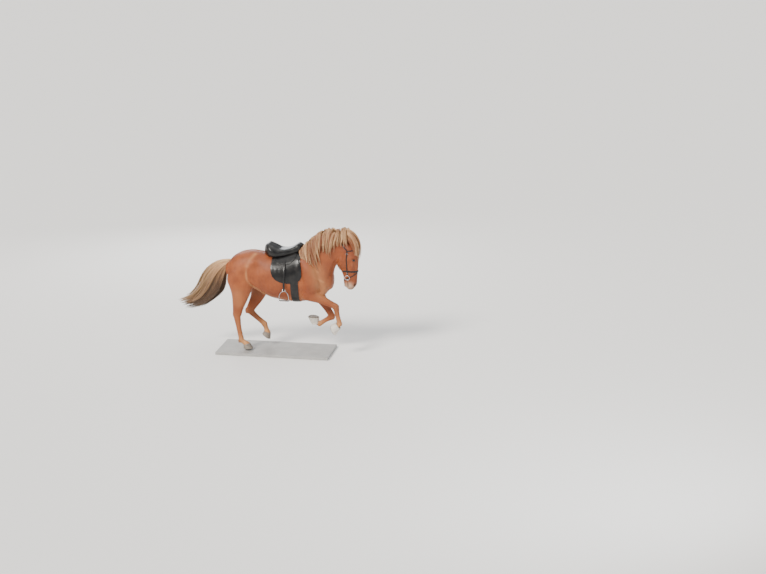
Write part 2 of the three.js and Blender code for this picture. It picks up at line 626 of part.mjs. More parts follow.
// The forelock springs from the poll over the brow and ends at eye level
const FORELOCK_LINE = [[868, 1486], [906, 1612], [1018, 1582], [1078, 1456], [1076, 1318]];
const FORELOCK_SPREAD = [8, 38, 76, 88, 80];
const foreLocks = [-1, -0.6, -0.2, 0.2, 0.6, 1].map((share, i) => {
  const lower = vary(0.86, 1);
  const lift = vary(-14, 8);
  const line = along.map((t) => between(FORELOCK_LINE, t * lower * (FORELOCK_LINE.length - 1)));
  const spread = along.map((t) => between(FORELOCK_SPREAD.map((value) => [value]), t * lower * (FORELOCK_SPREAD.length - 1))[0]);
  const points = line.map(([x, z], k) => [x - 46 * share ** 2 * along[k], share * spread[k], z + lift * Math.sin(along[k] * 3)]);
  const facing = line.map((_, k) => {
    const [a, b] = [line[Math.max(k - 1, 0)], line[Math.min(k + 1, line.length - 1)]];
    return new THREE.Vector3(a[1] - b[1], share * 60, b[0] - a[0]).normalize();
  });
  return { points, facing, widths: lockWidths(vary(52, 62)), depths: lockDepths(i % 2 ? 13 : 17) };
});

// The tail streams out behind: a slim core from the dock, and locks spread round it between two edges
const TAIL_CORE = [
  [-600, 0, 1166, 172, 30, 38, 34],
  [-700, 0, 1154, 196, 46, 44, 48],
  [-800, 0, 1086, 228, 56, 64, 66],
  [-866, 0, 980, 246, 62, 84, 88],
  [-905, 0, 850, 252, 60, 92, 96],
  [-975, 0, 728, 226, 52, 66, 76],
  [-1090, 0, 628, 204, 38, 44, 44],
];
const TAIL_TOP = [[-640, 1196], [-770, 1184], [-915, 1122], [-1040, 1000], [-1092, 840], [-1180, 700], [-1300, 652], [-1408, 620]];
const TAIL_LOW = [[-640, 1136], [-712, 1060], [-716, 920], [-738, 776], [-812, 684], [-930, 600], [-1075, 516], [-1290, 470]];
const TAIL_HALF = [12, 58, 84, 98, 96, 82, 60, 26].map((value) => [value]);
const tailLocks = [];
const TAIL_LOCKS = 20;
for (let i = 0; i < TAIL_LOCKS; i++) {
  const turn = ((i + 0.5) / TAIL_LOCKS) * Math.PI * 2;
  const inner = i % 2 ? 1 : 0.7;
  const reach = vary(0.8, 1) * 7;
  const wave = vary(0, 6);
  const points = [];
  const facing = [];
  along.forEach((t) => {
    const position = Math.min(t * reach, 7);
    const [top, low] = [between(TAIL_TOP, position), between(TAIL_LOW, position)];
    const share = 0.5 - 0.5 * Math.cos(turn) * inner;
    const x = top[0] + (low[0] - top[0]) * share;
    const z = top[1] + (low[1] - top[1]) * share + Math.sin(t * 5 + wave) * 12 * t;
    const y = Math.sin(turn) * inner * between(TAIL_HALF, position)[0];
    points.push([x, y, z]);
    const across = new THREE.Vector3(top[0] - low[0], 0, top[1] - low[1]).normalize();
    facing.push(across.multiplyScalar(Math.cos(turn)).add(new THREE.Vector3(0, Math.sin(turn), 0)).normalize());
  });
  tailLocks.push({ points, facing, widths: lockWidths(vary(66, 84)), depths: lockDepths(22) });
}

const maneBody = (grow = 0) => joined(maneLocks.map((lock) => bladeOf(lock, grow)));
const forelockBody = (grow = 0) => joined(foreLocks.map((lock) => bladeOf(lock, grow)));
const tailBody = () => joined([loft(TAIL_CORE.map(([x, y, z, h, w, f, b]) => [x, y, z, h, w, b, f]), { sides: 10, steps: 1, square: 2.1 }), ...tailLocks.map((lock) => bladeOf(lock))]);

// What lies behind a cut, grown by the gap, clears hair that hangs over it
const behindNeck = joined([trunkBody(GAP), muscles(GAP), neckBody(GAP)]).subtract(
  cutter(NECK_CUT.at, NECK_CUT.heading, [0, FAR], [-FAR, FAR], [-FAR, FAR], 0),
);
const headRegion = cutter(HEAD_CUT.at, HEAD_CUT.heading, [0, FAR], [-FAR, FAR], [-FAR, FAR], 0);
const aheadOfNeck = joined([headBody(GAP), neckBody(GAP)]).intersect(headRegion);
const behindHead = neckBody(GAP).subtract(headRegion);
const saddleRoom = joined([seatBody(GAP), trunkBody(FLAP.thickness + GAP).subtract(block([840, 0, 1000], [1000, 900, 1400]))]);
const strapRoom = joined([headpieceStrips(GAP), browStrip(GAP)]).intersect(
  joined([headBody(STRAP.thickness + GAP), neckBody(STRAP.thickness + GAP)]),
);
const maneHair = maneBody().subtract(joined([behindNeck, aheadOfNeck, saddleRoom, strapRoom]));
const maneRoom = maneBody(2 * GAP);
const foreHair = forelockBody().subtract(joined([behindHead, strapRoom, maneRoom]));
const forelockRoom = joined([forelockBody(4 * GAP), forelockBody(8 * GAP)]);
for (const [name, ear] of ears) place("ear_" + name, ear.subtract(joined([strapRoom, maneRoom, forelockRoom, headBody(3 * GAP), neckBody(3 * GAP)])), COAT);
place("head", head.subtract(bit(GAP)).subtract(maneRoom).add(foreHair), COAT);
place("neck", neckFlesh.add(maneHair), COAT);

const tail = tailBody().subtract(joined([trunkBody(GAP), hindLeg(THIGH_RIGHT, RIGHT_HIND, GAP), hindLeg(THIGH_LEFT, LEFT_HIND, GAP)]));
place("tail", tail, FLAXEN);

const plinth = new THREE.BoxGeometry(BASE.length, BASE.width, BASE.thickness);
plinth.translate(BASE.middle, 0, BASE.thickness / 2);
place("stand_base", solid(plinth), BASE_PAINT, model);

export default model;
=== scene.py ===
# A life-size still model of a chestnut Icelandic horse in mid canter, with flaxen mane and tail,
# saddle, bridle and bell boots, on a flat base. Metres, +Z up, the horse faces +X, right side -Y.
import math

import bmesh
import bpy
import numpy as np
from mathutils import Matrix, Vector
from mathutils.bvhtree import BVHTree


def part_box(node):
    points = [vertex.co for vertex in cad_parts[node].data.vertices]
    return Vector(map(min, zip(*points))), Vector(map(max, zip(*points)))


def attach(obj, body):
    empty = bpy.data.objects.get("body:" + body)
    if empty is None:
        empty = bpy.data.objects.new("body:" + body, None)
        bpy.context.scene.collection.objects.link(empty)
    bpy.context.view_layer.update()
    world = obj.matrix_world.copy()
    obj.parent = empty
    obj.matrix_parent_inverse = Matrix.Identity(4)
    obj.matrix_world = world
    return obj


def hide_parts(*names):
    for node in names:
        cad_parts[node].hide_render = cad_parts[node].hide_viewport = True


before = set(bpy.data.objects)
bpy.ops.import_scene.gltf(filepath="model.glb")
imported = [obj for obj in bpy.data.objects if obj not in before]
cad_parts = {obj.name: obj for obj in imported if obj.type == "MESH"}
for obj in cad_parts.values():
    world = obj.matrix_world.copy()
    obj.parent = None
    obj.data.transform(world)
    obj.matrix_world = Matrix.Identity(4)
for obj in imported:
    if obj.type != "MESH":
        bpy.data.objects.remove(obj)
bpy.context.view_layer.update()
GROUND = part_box("stand_base")[1].z + 0.0003  # the sole of the standing hoof


# Studio
# A plain pale floor that fills the view, under soft light: a sun from the left of the camera as in
# the picture, a broad one overhead, and two large lamps, one in front on the right and one behind.
def finish_of(name, color, roughness, **more):
    material = bpy.data.materials.new(name)
    material.use_nodes = True
    shader = material.node_tree.nodes["Principled BSDF"]
    shader.inputs["Base Color"].default_value = (*color, 1)
    shader.inputs["Roughness"].default_value = roughness
    for socket, value in more.items():
        shader.inputs[socket.replace("_", " ")].default_value = value
    return material, material.node_tree, shader


def in_scene(name, data):
    thing = bpy.data.objects.new(name, data)
    bpy.context.scene.collection.objects.link(thing)
    return thing


def as_object(name, bm):
    data = bpy.data.meshes.new(name)
    bm.to_mesh(data)
    bm.free()
    return in_scene(name, data)


def light(name, kind, at, aim, **settings):
    lamp = bpy.data.lights.new(name, kind)
    for key, value in settings.items():
        setattr(lamp, key, value)
    thing = in_scene(name, lamp)
    thing.location = at
    thing.rotation_euler = (Vector(aim) - Vector(at)).to_track_quat("-Z", "Y").to_euler()


floor_grid = bmesh.new()
bmesh.ops.create_grid(floor_grid, x_segments=2, y_segments=2, size=150)
floor = as_object("floor", floor_grid)
floor.data.materials.append(finish_of("pale floor", (0.86, 0.85, 0.83), 0.85)[0])

world = bpy.data.worlds.new("studio")
bpy.context.scene.world = world
world.use_nodes = True
sky = world.node_tree.nodes["Background"].inputs
sky["Color"].default_value = (0.93, 0.95, 1, 1)
sky["Strength"].default_value = 0.42

light("key", "SUN", (-4.2, -6.5, 6.2), (0, 0, 0), energy=4.6, angle=0.3, color=(1, 0.96, 0.89))
light("overhead", "SUN", (0.5, 1.5, 7.0), (0, 0, 0), energy=1.7, angle=1.3, color=(1, 0.99, 0.96))
for name, at, aim, size, watts, color in (
    ("fill", (5.5, -5.0, 3.2), (0.3, 0, 0.9), 4.0, 150, (0.92, 0.96, 1)),
    ("back", (-2.5, 6.0, 3.5), (0, 0, 1.0), 3.5, 170, (0.95, 0.97, 1)),
):
    light(name, "AREA", at, aim, shape="DISK", size=size, energy=watts, color=color)

# The camera looks down about 15 degrees from 22 m off, with the long lens of the picture. FOCAL, the
# picture's width and middle, and the place where the origin is seen are in pixels.
AZIMUTH, ELEVATION, DISTANCE = math.radians(10), math.radians(15), 22.24
FOCAL, PICTURE_WIDTH = 1690, 766
PICTURE_MIDDLE, ORIGIN_SEEN = (383, 287), (281, 348.4)
level_share = math.cos(ELEVATION)
back = Vector((math.sin(AZIMUTH) * level_share, -math.cos(AZIMUTH) * level_share, math.sin(ELEVATION)))
right = Vector((math.cos(AZIMUTH), math.sin(AZIMUTH), 0))
upward = back.cross(right)
lens = bpy.data.cameras.new("camera")
lens.sensor_width = 36
lens.lens = FOCAL / PICTURE_WIDTH * lens.sensor_width
lens.clip_end = 400
camera = in_scene("camera", lens)
camera.location = (
    Vector((0, 0, GROUND))
    + back * DISTANCE
    + right * ((PICTURE_MIDDLE[0] - ORIGIN_SEEN[0]) / FOCAL * DISTANCE)
    + upward * ((ORIGIN_SEEN[1] - PICTURE_MIDDLE[1]) / FOCAL * DISTANCE)
)
camera.rotation_euler = back.to_track_quat("Z", "Y").to_euler()
bpy.context.scene.camera = camera


# Horse, the flesh under the coat
# Trunk, neck, head and each leg are lofted through listed stations, in millimetres from the sole
# of the standing hoof: x, y, z, heading in degrees above +X, half width, depth in front, behind.
COAT_DEPTH = 3.0
TRUNK = [
    (-668, 0, 1070, 0, 118, 92, 110), (-610, 0, 1060, 0, 190, 175, 160), (-530, 0, 1052, 0, 226, 232, 205),
    (-440, 0, 1050, 0, 242, 264, 238), (-340, 0, 1050, 0, 244, 274, 232), (-230, 0, 1036, 0, 250, 275, 274),
    (-100, 0, 1000, 0, 264, 294, 292), (40, 0, 985, 0, 268, 302, 306), (180, 0, 985, 0, 252, 324, 322),
    (300, 0, 1000, 0, 222, 352, 334), (400, 0, 1010, 0, 202, 342, 322), (500, 0, 1010, 0, 192, 290, 292),
    (600, 0, 990, 0, 168, 200, 226), (655, 0, 970, 0, 125, 130, 150),
]
NECK = [
    (470, 0, 1090, 42, 190, 270, 270), (522, 0, 1132, 37.7, 178, 288, 284),
    (588, 0, 1234, 29.5, 142, 258, 254),
    (660, 0, 1317, 18, 112, 232, 224), (728, 0, 1358, 8, 96, 202, 196), (800, 0, 1360, 0, 86, 164, 166),
    (862, 0, 1366, -6, 72, 128, 130),
]
SKULL = [
    (884, 0, 1462, -84, 62, 70, 66), (896, 0, 1420, -86, 84, 98, 96), (912, 0, 1346, -88, 101, 128, 118),
    (920, 0, 1262, -90, 104, 130, 108), (934, 0, 1180, -92, 85, 110, 94), (944, 0, 1090, -93, 68, 94, 84),
    (946, 0, 1000, -93, 58, 84, 78), (944, 0, 936, -92, 59, 82, 74), (940, 0, 892, -90, 54, 68, 64),
    (938, 0, 868, -88, 42, 48, 48),
]
JAW = [
    (830, 0, 1330, -78, 66, 62, 66), (842, 0, 1255, -76, 74, 84, 88), (858, 0, 1175, -74, 66, 76, 82),
    (884, 0, 1090, -74, 50, 58, 62), (898, 0, 1005, -78, 42, 50, 52), (902, 0, 930, -86, 42, 44, 46),
    (906, 0, 893, -92, 36, 34, 36),
]
SHOULDER = [
    (330, -104, 1236, -58, 92, 92, 92), (392, -118, 1130, -62, 112, 118, 120),
    (440, -126, 1020, -70, 116, 124, 132),
    (462, -130, 920, -96, 106, 112, 122), (428, -130, 836, -128, 88, 92, 96),
]
BREAST = [
    (520, -62, 1010, -70, 96, 112, 110), (580, -64, 900, -78, 96, 92, 100),
    (576, -66, 812, -96, 76, 66, 90),
]
THIGH_RIGHT = [
    (-520, -118, 1080, -80, 112, 170, 140), (-505, -142, 960, -84, 108, 172, 168),
    (-488, -150, 850, -90, 94, 156, 150),
    (-496, -146, 735, -94, 74, 120, 118), (-522, -138, 620, -98, 58, 88, 88),
    (-536, -131, 540, -98, 46, 68, 74),
    (-548, -127, 470, -96, 42, 60, 64),
]
THIGH_LEFT = [
    (-500, 118, 1080, -68, 112, 170, 140), (-430, 142, 960, -62, 108, 168, 160),
    (-352, 152, 850, -76, 94, 144, 146),
    (-318, 148, 742, -96, 76, 114, 118), (-352, 140, 640, -116, 58, 88, 90),
    (-392, 131, 560, -120, 46, 68, 74),
    (-432, 125, 492, -118, 42, 58, 62),
]
# Points of the legs, where joint is the knee or the hock and pitch turns the hoof, in degrees; then
# profiles along the legs: share of the length, half width, depth in front, behind.
FORE = {
    "right": dict(
        elbow=(398, -128, 812), joint=(772, -142, 648),
        fetlock=(822, -138, 414), coronet=(765, -138, 366), pitch=-66,
    ),
    "left": dict(
        elbow=(440, 128, 800), joint=(668, 134, 432),
        fetlock=(494, 128, 322), coronet=(432, 128, 372), pitch=-182,
    ),
}
HIND = {
    "right": dict(joint=(-550, -126, 458), fetlock=(-497, -122, 124), coronet=(-428, -122, 76), pitch=0),
    "left": dict(joint=(-444, 124, 470), fetlock=(-243, 130, 292), coronet=(-212, 130, 178), pitch=-34),
}
LEGS = [*FORE.values(), *HIND.values()]
FOREARM = [
    (-0.05, 84, 106, 114), (0.18, 74, 92, 92), (0.42, 60, 70, 68), (0.68, 47, 52, 50), (0.9, 42, 45, 45),
    (1, 44, 46, 47),
]
FORE_CANNON = [
    (-0.02, 42, 46, 44), (0.18, 38, 38, 44), (0.38, 30, 30, 42), (0.62, 28, 28, 40), (0.85, 32, 31, 40),
    (1, 37, 36, 42),
]
HIND_CANNON = [
    (-0.04, 40, 50, 54), (0.16, 36, 42, 52), (0.36, 30, 33, 48), (0.64, 29, 31, 44), (0.86, 32, 34, 42),
    (1, 38, 38, 44),
]
PASTERN = [(-0.1, 37, 35, 38), (0.4, 33, 32, 35), (0.8, 37, 36, 38), (1, 42, 40, 40)]


def metres(x, y, z):
    """A point given in millimetres from the sole of the standing hoof."""
    return Vector((x, y, z)) / 1000 + Vector((0, 0, GROUND))


def between(rows, position):
    """A smooth curve through the stations; position 1.5 is halfway from the second to the third."""
    rows = np.asarray(rows, float)
    last = len(rows) - 1
    i = min(int(position), last - 1)
    t = position - i
    p0, p1, p2, p3 = (rows[max(0, min(last, k))] for k in (i - 1, i, i + 1, i + 2))
    bend = 2 * p0 - 5 * p1 + 4 * p2 - p3
    return 0.5 * (2 * p1 + (p2 - p0) * t + bend * t * t + (3 * p1 - p0 - 3 * p2 + p3) * t**3)


def segment(start, end, profile):
    """Stations of a straight part of a leg."""
    heading = math.degrees(math.atan2(end[2] - start[2], end[0] - start[0]))
    rows = []
    for share, *reaches in profile:
        rows.append((*[a + (b - a) * share for a, b in zip(start, end)], heading, *reaches))
    return rows


def mirrored(rows):
    return [(row[0], -row[1], *row[2:]) for row in rows]


def ring_point(row, angle, square=2.2, grow=0.0):
    """A point on a station's outline: left side at angle 0, front or top at 90, right side at 180."""
    x, y, z, heading, w, f, b = row
    a, c, s = math.radians(heading), math.cos(angle), math.sin(angle)
    c = math.copysign(abs(c) ** (2 / square), c)
    s = math.copysign(abs(s) ** (2 / square), s)
    depth = (f if s > 0 else b) + grow
    return metres(x - math.sin(a) * depth * s, y + (w + grow) * c, z + math.cos(a) * depth * s)


def loft(bm, rows, sides, square=2.2, steps=4):
    """Adds a closed form through the stations, with rounded ends."""
    stations = [between(rows, k / steps) for k in range((len(rows) - 1) * steps + 1)]
    ends = []
    for row, direction in ((stations[0], -1), (stations[-1], 1)):
        heading = math.radians(row[3])
        for share, reach in ((0.8, 0.34), (0.45, 0.5)):
            out = direction * reach * min(row[4:7])
            middle = (row[0] + out * math.cos(heading), row[1], row[2] + out * math.sin(heading))
            ends.append([*middle, row[3], *(row[4:7] * share)])
    edges, first = None, None
    for row in [ends[1], ends[0], *stations, ends[2], ends[3]]:
        made = bmesh.ops.create_circle(bm, segments=sides, radius=1)["verts"]
        for i, vert in enumerate(made):
            vert.co = ring_point(row, 2 * math.pi * i / sides, square, -COAT_DEPTH)
        ring = list({e for v in made for e in v.link_edges})
        if edges:
            bmesh.ops.bridge_loops(bm, edges=edges + ring)
        else:
            first = ring
        edges = ring
    bmesh.ops.holes_fill(bm, edges=first + edges)


def modified(thing, *modifiers):
    """Puts the shape that modifiers give, each a kind and its settings, into the object's mesh."""
    for kind, settings in modifiers:
        added = thing.modifiers.new(kind.lower(), kind)
        for key, value in settings.items():
            setattr(added, key, value)
    shaped = bpy.data.meshes.new_from_object(thing.evaluated_get(bpy.context.evaluated_depsgraph_get()))
    thing.modifiers.clear()
    thing.data = shaped
    return thing


def knob(bm, centre, radii):
    """A round bony or fleshy point, from a sphere."""
    made = bmesh.ops.create_uvsphere(bm, u_segments=20, v_segments=12, radius=1)["verts"]
    bmesh.ops.scale(bm, verts=made, vec=[(r - COAT_DEPTH) / 1000 for r in radii])
    bmesh.ops.translate(bm, verts=made, vec=[centre[0] / 1000, centre[1] / 1000, centre[2] / 1000 + GROUND])


def along_shank(leg):
    """The ways down the cannon bone and back from it."""
    down = np.array(leg["fetlock"], float) - np.array(leg["joint"], float)
    down /= np.linalg.norm(down)
    return down, np.array((down[2], 0, -down[0]))


flesh = bmesh.new()
loft(flesh, TRUNK, 40, 2.25)
loft(flesh, NECK, 36, 2.15)
for side in (1, -1):
    for rows in (SHOULDER, BREAST):
        loft(flesh, rows if side > 0 else mirrored(rows), 24, 2.1)
    knob(flesh, (850, side * 52, 1232), (86, 38, 92))
    knob(flesh, (966, side * 78, 1292), (44, 24, 22))
    knob(flesh, (984, side * 44, 930), (34, 22, 34))
knob(flesh, (884, 0, 902), (34, 34, 28))
loft(flesh, SKULL, 32, 2.3)
loft(flesh, JAW, 24, 2.3)
loft(flesh, THIGH_RIGHT, 24)
loft(flesh, THIGH_LEFT, 24)
for leg in FORE.values():
    loft(flesh, segment(leg["elbow"], leg["joint"], FOREARM), 20)
    loft(flesh, segment(leg["joint"], leg["fetlock"], FORE_CANNON), 20)
    loft(flesh, segment(leg["fetlock"], leg["coronet"], PASTERN), 20)
for leg in HIND.values():
    loft(flesh, segment(leg["joint"], leg["fetlock"], HIND_CANNON), 20)
    loft(flesh, segment(leg["fetlock"], leg["coronet"], PASTERN), 20)
    down, rear = along_shank(leg)
    knob(flesh, leg["joint"] - 26 * down + 34 * rear, (27, 24, 48))
bmesh.ops.recalc_face_normals(flesh, faces=flesh.faces)
skin = modified(
    as_object("horse_skin", flesh),
    ("REMESH", dict(mode="VOXEL", voxel_size=0.0092)),
    ("SMOOTH", dict(factor=0.5, iterations=7)),
)

# The head gets a finer mesh than the body, and the eyes and muzzle a finer one again.
detail = bmesh.new()
detail.from_mesh(skin.data)


def refine(inside):
    """Splits the edges whose ends are inside, by x, y from the middle and z in millimetres."""
    chosen = []
    for edge in detail.edges:
        if all(inside(v.co.x * 1000, abs(v.co.y) * 1000, (v.co.z - GROUND) * 1000) for v in edge.verts):
            chosen.append(edge)
    bmesh.ops.subdivide_edges(detail, edges=chosen, cuts=1, use_grid_fill=True, smooth=0.0)
    bmesh.ops.triangulate(detail, faces=[f for f in detail.faces if len(f.verts) > 4])


refine(lambda x, y, z: x > 800 and 830 < z < 1500)
refine(lambda x, y, z: (x > 950 and 1215 < z < 1300 and y > 40) or (x > 880 and 840 < z < 1010))
head_verts = [v for v in detail.verts if v.co.x > 0.8 and v.co.z > 0.83 + GROUND]
all_ways = dict(use_axis_x=True, use_axis_y=True, use_axis_z=True)
bmesh.ops.smooth_vert(detail, verts=head_verts, factor=0.5, **all_ways)
detail.to_mesh(skin.data)
detail.free()


def read(source, field):
    values = np.empty(len(source) * 3)
    source.foreach_get(field, values)
    return values.reshape(-1, 3)


# Muscle, bone and skin folds are pressed in or raised along the surface, alike on both sides.
# Each is a point or a line in millimetres, with a radius and a height; minus is a hollow.
SWELLS = [
    ((400, 190, 925), (95, 80, 75), 11), ((640, 105, 925), (48, 45, 48), 7),
    ((-235, 210, 1120), (62, 60, 74), -13),
    ((-300, 196, 1195), (44, 44, 36), 9), ((-430, 150, 1240), (120, 90, 70), 6),
    ((-520, 185, 1010), (70, 60, 110), 6),
    ((920, 88, 1334), (26, 22, 26), -8), ((1010, 60, 1120), (22, 26, 90), -5),
    ((860, 80, 1235), (62, 40, 70), 5),
    ((430, 185, 1120), (60, 60, 90), 4), ((30, 262, 1000), (180, 80, 120), 4),
    ((355, 150, 1290), (60, 60, 50), -7),
]
RIDGES = [
    ((372, 128, 1250), (520, 172, 965), 22, 5), ((430, 110, 1270), (600, 140, 1010), 28, -7),
    ((330, 190, 1070), (296, 175, 850), 30, -9), ((690, 0, 990), (640, 0, 790), 18, -14),
    ((640, 70, 1010), (780, 62, 1260), 24, -10), ((430, 130, 1250), (770, 86, 1410), 38, 5),
    ((-560, 160, 1150), (-520, 210, 830), 20, -7), ((-622, 110, 1130), (-560, 150, 800), 22, -6),
    ((-570, 0, 1300), (-180, 0, 1310), 22, -7), ((-300, 185, 925), (-225, 150, 838), 24, -8),
    ((-330, 178, 990), (-262, 190, 880), 22, 6), ((560, 120, 870), (470, 170, 840), 26, -8),
    ((978, 86, 1222), (962, 70, 1120), 10, 6), ((950, 94, 1296), (1002, 82, 1294), 13, 5),
    ((884, 84, 1180), (826, 92, 1150), 16, -6), ((1006, 72, 1216), (1010, 56, 1120), 14, -4),
    ((900, 86, 1300), (876, 90, 1210), 14, -4), ((903, 58, 990), (915, 44, 905), 4, -6),
    ((906, 40, 900), (930, 34, 872), 4, -6), ((912, 0, 868), (912, 44, 905), 4, -5),
    ((970, 48, 905), (930, 50, 900), 12, 3), ((958, 66, 1262), (930, 78, 1266), 8, 2),
] + [((-205 + 54 * k, 240, 1130), (-165 + 54 * k, 250, 860), 12, 2.2) for k in range(7)]
RELIEF = 1.45


def in_millimetres(co, mirrored_in=True):
    """Points as rows of millimetres, with the right side laid over the left where mirrored in."""
    y = np.abs(co[:, 1]) if mirrored_in else co[:, 1]
    return np.column_stack((co[:, 0], y, co[:, 2] - GROUND)) * 1000


def from_segment(spot, start, end):
    """Each spot's share of the way along a segment, and its distance from it."""
    start, end = np.array(start, float), np.array(end, float)
    share = np.clip((spot - start) @ (end - start) / ((end - start) @ (end - start)), 0, 1)
    return share, np.linalg.norm(spot - (start + share[:, None] * (end - start)), axis=1)


for leg in LEGS:
    down, rear = along_shank(leg)
    joint, fetlock = np.array(leg["joint"], float), np.array(leg["fetlock"], float)
    y = abs(joint[1])
    for aside in (-28, 28):
        shift = np.array((0, y - joint[1] + aside, 0))
        tendon, swollen = 11 * rear + shift, 0.6 * shift - 30 * rear
        RIDGES.append((joint + 46 * down + tendon, fetlock - 34 * down + tendon, 7, -3.4))
        RIDGES.append((joint - 6 * down + swollen, joint + 12 * down + swollen, 15, 3))
    SWELLS.append((joint + 32 * rear + (0, y - joint[1], 0), (16, 18, 20), 5))
    SWELLS.append((fetlock + 30 * rear + (0, y - fetlock[1], 0), (16, 18, 16), 4))
co = read(skin.data.vertices, "co")
normals = read(skin.data.vertex_normals, "vector")
place = in_millimetres(co)
height = np.zeros(len(co))
for centre, radii, amount in SWELLS:
    height += amount * np.exp(-(((place - centre) / radii) ** 2).sum(1))
for start, end, radius, amount in RIDGES:
    share, away = from_segment(place, start, end)
    ends_low = np.sin(np.pi * np.clip(0.12 + 0.76 * share, 0, 1)) ** 0.5
    height += amount * np.exp(-((away / radius) ** 2)) * ends_low
co += normals * height[:, None] * RELIEF / 1000

# Lids lie close round the eyeball, and open in an almond; nostrils are deep commas with a rim.
EYE_RADIUS = 0.021


def eye_frame(side):
    """The middle of the eyeball, and the ways outward, ahead and up of its gaze."""
    outward = Vector((0.42, side * 0.9, 0.05)).normalized()
    along = Vector((0.9, -side * 0.42, -0.22))
    ahead = (along - outward * along.dot(outward)).normalized()
    above = outward.cross(ahead)
    return Vector((0.99, side * 0.076, 1.256 + GROUND)), outward, ahead, above if above.z > 0 else -above


for side in (-1, 1):
    middle, outward, ahead, above = eye_frame(side)
    offset = co - np.array(middle)
    u, v, w = (offset @ np.array(way) for way in (ahead, above, outward))
    almond = np.sqrt((u / 0.0215) ** 2 + (v / np.where(v > 0, 0.0165, 0.014)) ** 2)
    near = (w > -0.004) & (almond < 3.2)
    distance = np.linalg.norm(offset, axis=1)
    lid = EYE_RADIUS + 0.0032 - 0.0016 * np.clip(almond - 1.3, 0, 1)
    fade = np.clip((2.0 - almond) / 0.5, 0, 1)
    sunk = np.minimum(distance, EYE_RADIUS - 0.007)
    target = np.where(almond < 1, sunk, distance + (lid - distance) * fade)
    co += offset * ((target / np.maximum(distance, 1e-6) - 1) * near)[:, None]
    from_crease = np.sqrt((u / 0.025) ** 2 + (v / 0.02) ** 2) - 1
    crease = 0.0022 * np.exp(-((from_crease / 0.16) ** 2)) * (v > -0.004) * near
    co -= np.array(outward) * crease[:, None]
for side in (1, -1):
    middle = Vector((1.0, side * 0.05, 0.928 + GROUND))
    outward = Vector((0.62, side * 0.78, 0.0)).normalized()
    along = Vector((0.35 * outward.y * side, -side * outward.x * 0.35, 0.93)).normalized()
    offset = co - np.array(middle)
    u, v, w = (offset @ np.array(way) for way in (along, outward.cross(along), outward))
    v = v * side + 0.35 * u * u / 0.015
    comma = np.sqrt((u / 0.0165) ** 2 + (v / 0.0085) ** 2)
    deep = np.where(comma < 1, 0.016 * (1 - comma**3), 0)
    rim = 0.0035 * np.exp(-(((comma - 1.25) / 0.35) ** 2))
    co += np.array(outward) * ((rim - deep) * (np.abs(w) < 0.03))[:, None]
skin.data.vertices.foreach_set("co", co.ravel())
skin.data.update()


# Markings and painted light
# Paler and darker hair over the skin, drawn as lines that fade out, with painted sheen on the flank
# whorl and painted shade inside the elbows, under the belly and on the inner sides of the hind legs:
# red is pale hair and sheen, green is dark skin and painted shade, blue is the lower leg and alpha is
# the muzzle. A line is an amount, a radius and points, on both sides.
# Painted sheen: a paler band down the flank where the hair whorls and lies another way.
WHORL_SHEEN_TOP = [(-290, 112, 1300), (-338, 172, 1235), (-382, 215, 1150)]
WHORL_SHEEN_LOW = [(-382, 215, 1150), (-391, 235, 1057), (-383, 238, 966), (-350, 225, 912)]
PALE_LINES = [
    (0.3, 13, [(405, 205, 1120), (500, 205, 1040), (610, 150, 970)]),
    # This line carries the painted sheen of the flank whorl on down the flank.
    (0.55, 24, [(-300, 205, 850), (-262, 195, 815)]),
    (0.34, 95, [(520, 190, 1120), (560, 170, 960), (600, 150, 860)]),
]
DARK_LINES = [
    (0.95, 17, [(1006, 50, 934), (1002, 56, 920)]),
    (0.8, 11, [(903, 58, 985), (915, 46, 905), (925, 0, 868)]),
    (0.55, 26, [(955, 20, 866), (985, 30, 890)]),
]
MUZZLE = [(895, 0, 890), (960, 20, 880), (925, 34, 915)]


def soft(value, low, high):
    t = np.clip((value - low) / (high - low), 0, 1)
    return t * t * (3 - 2 * t)


def glow(spot, points, radius, power=2):
    """1 on a line of points, fading out to the sides."""
    away = np.min([from_segment(spot, a, b)[1] for a, b in zip(points[:-1], points[1:])], axis=0)
    return np.exp(-((away / radius) ** power))


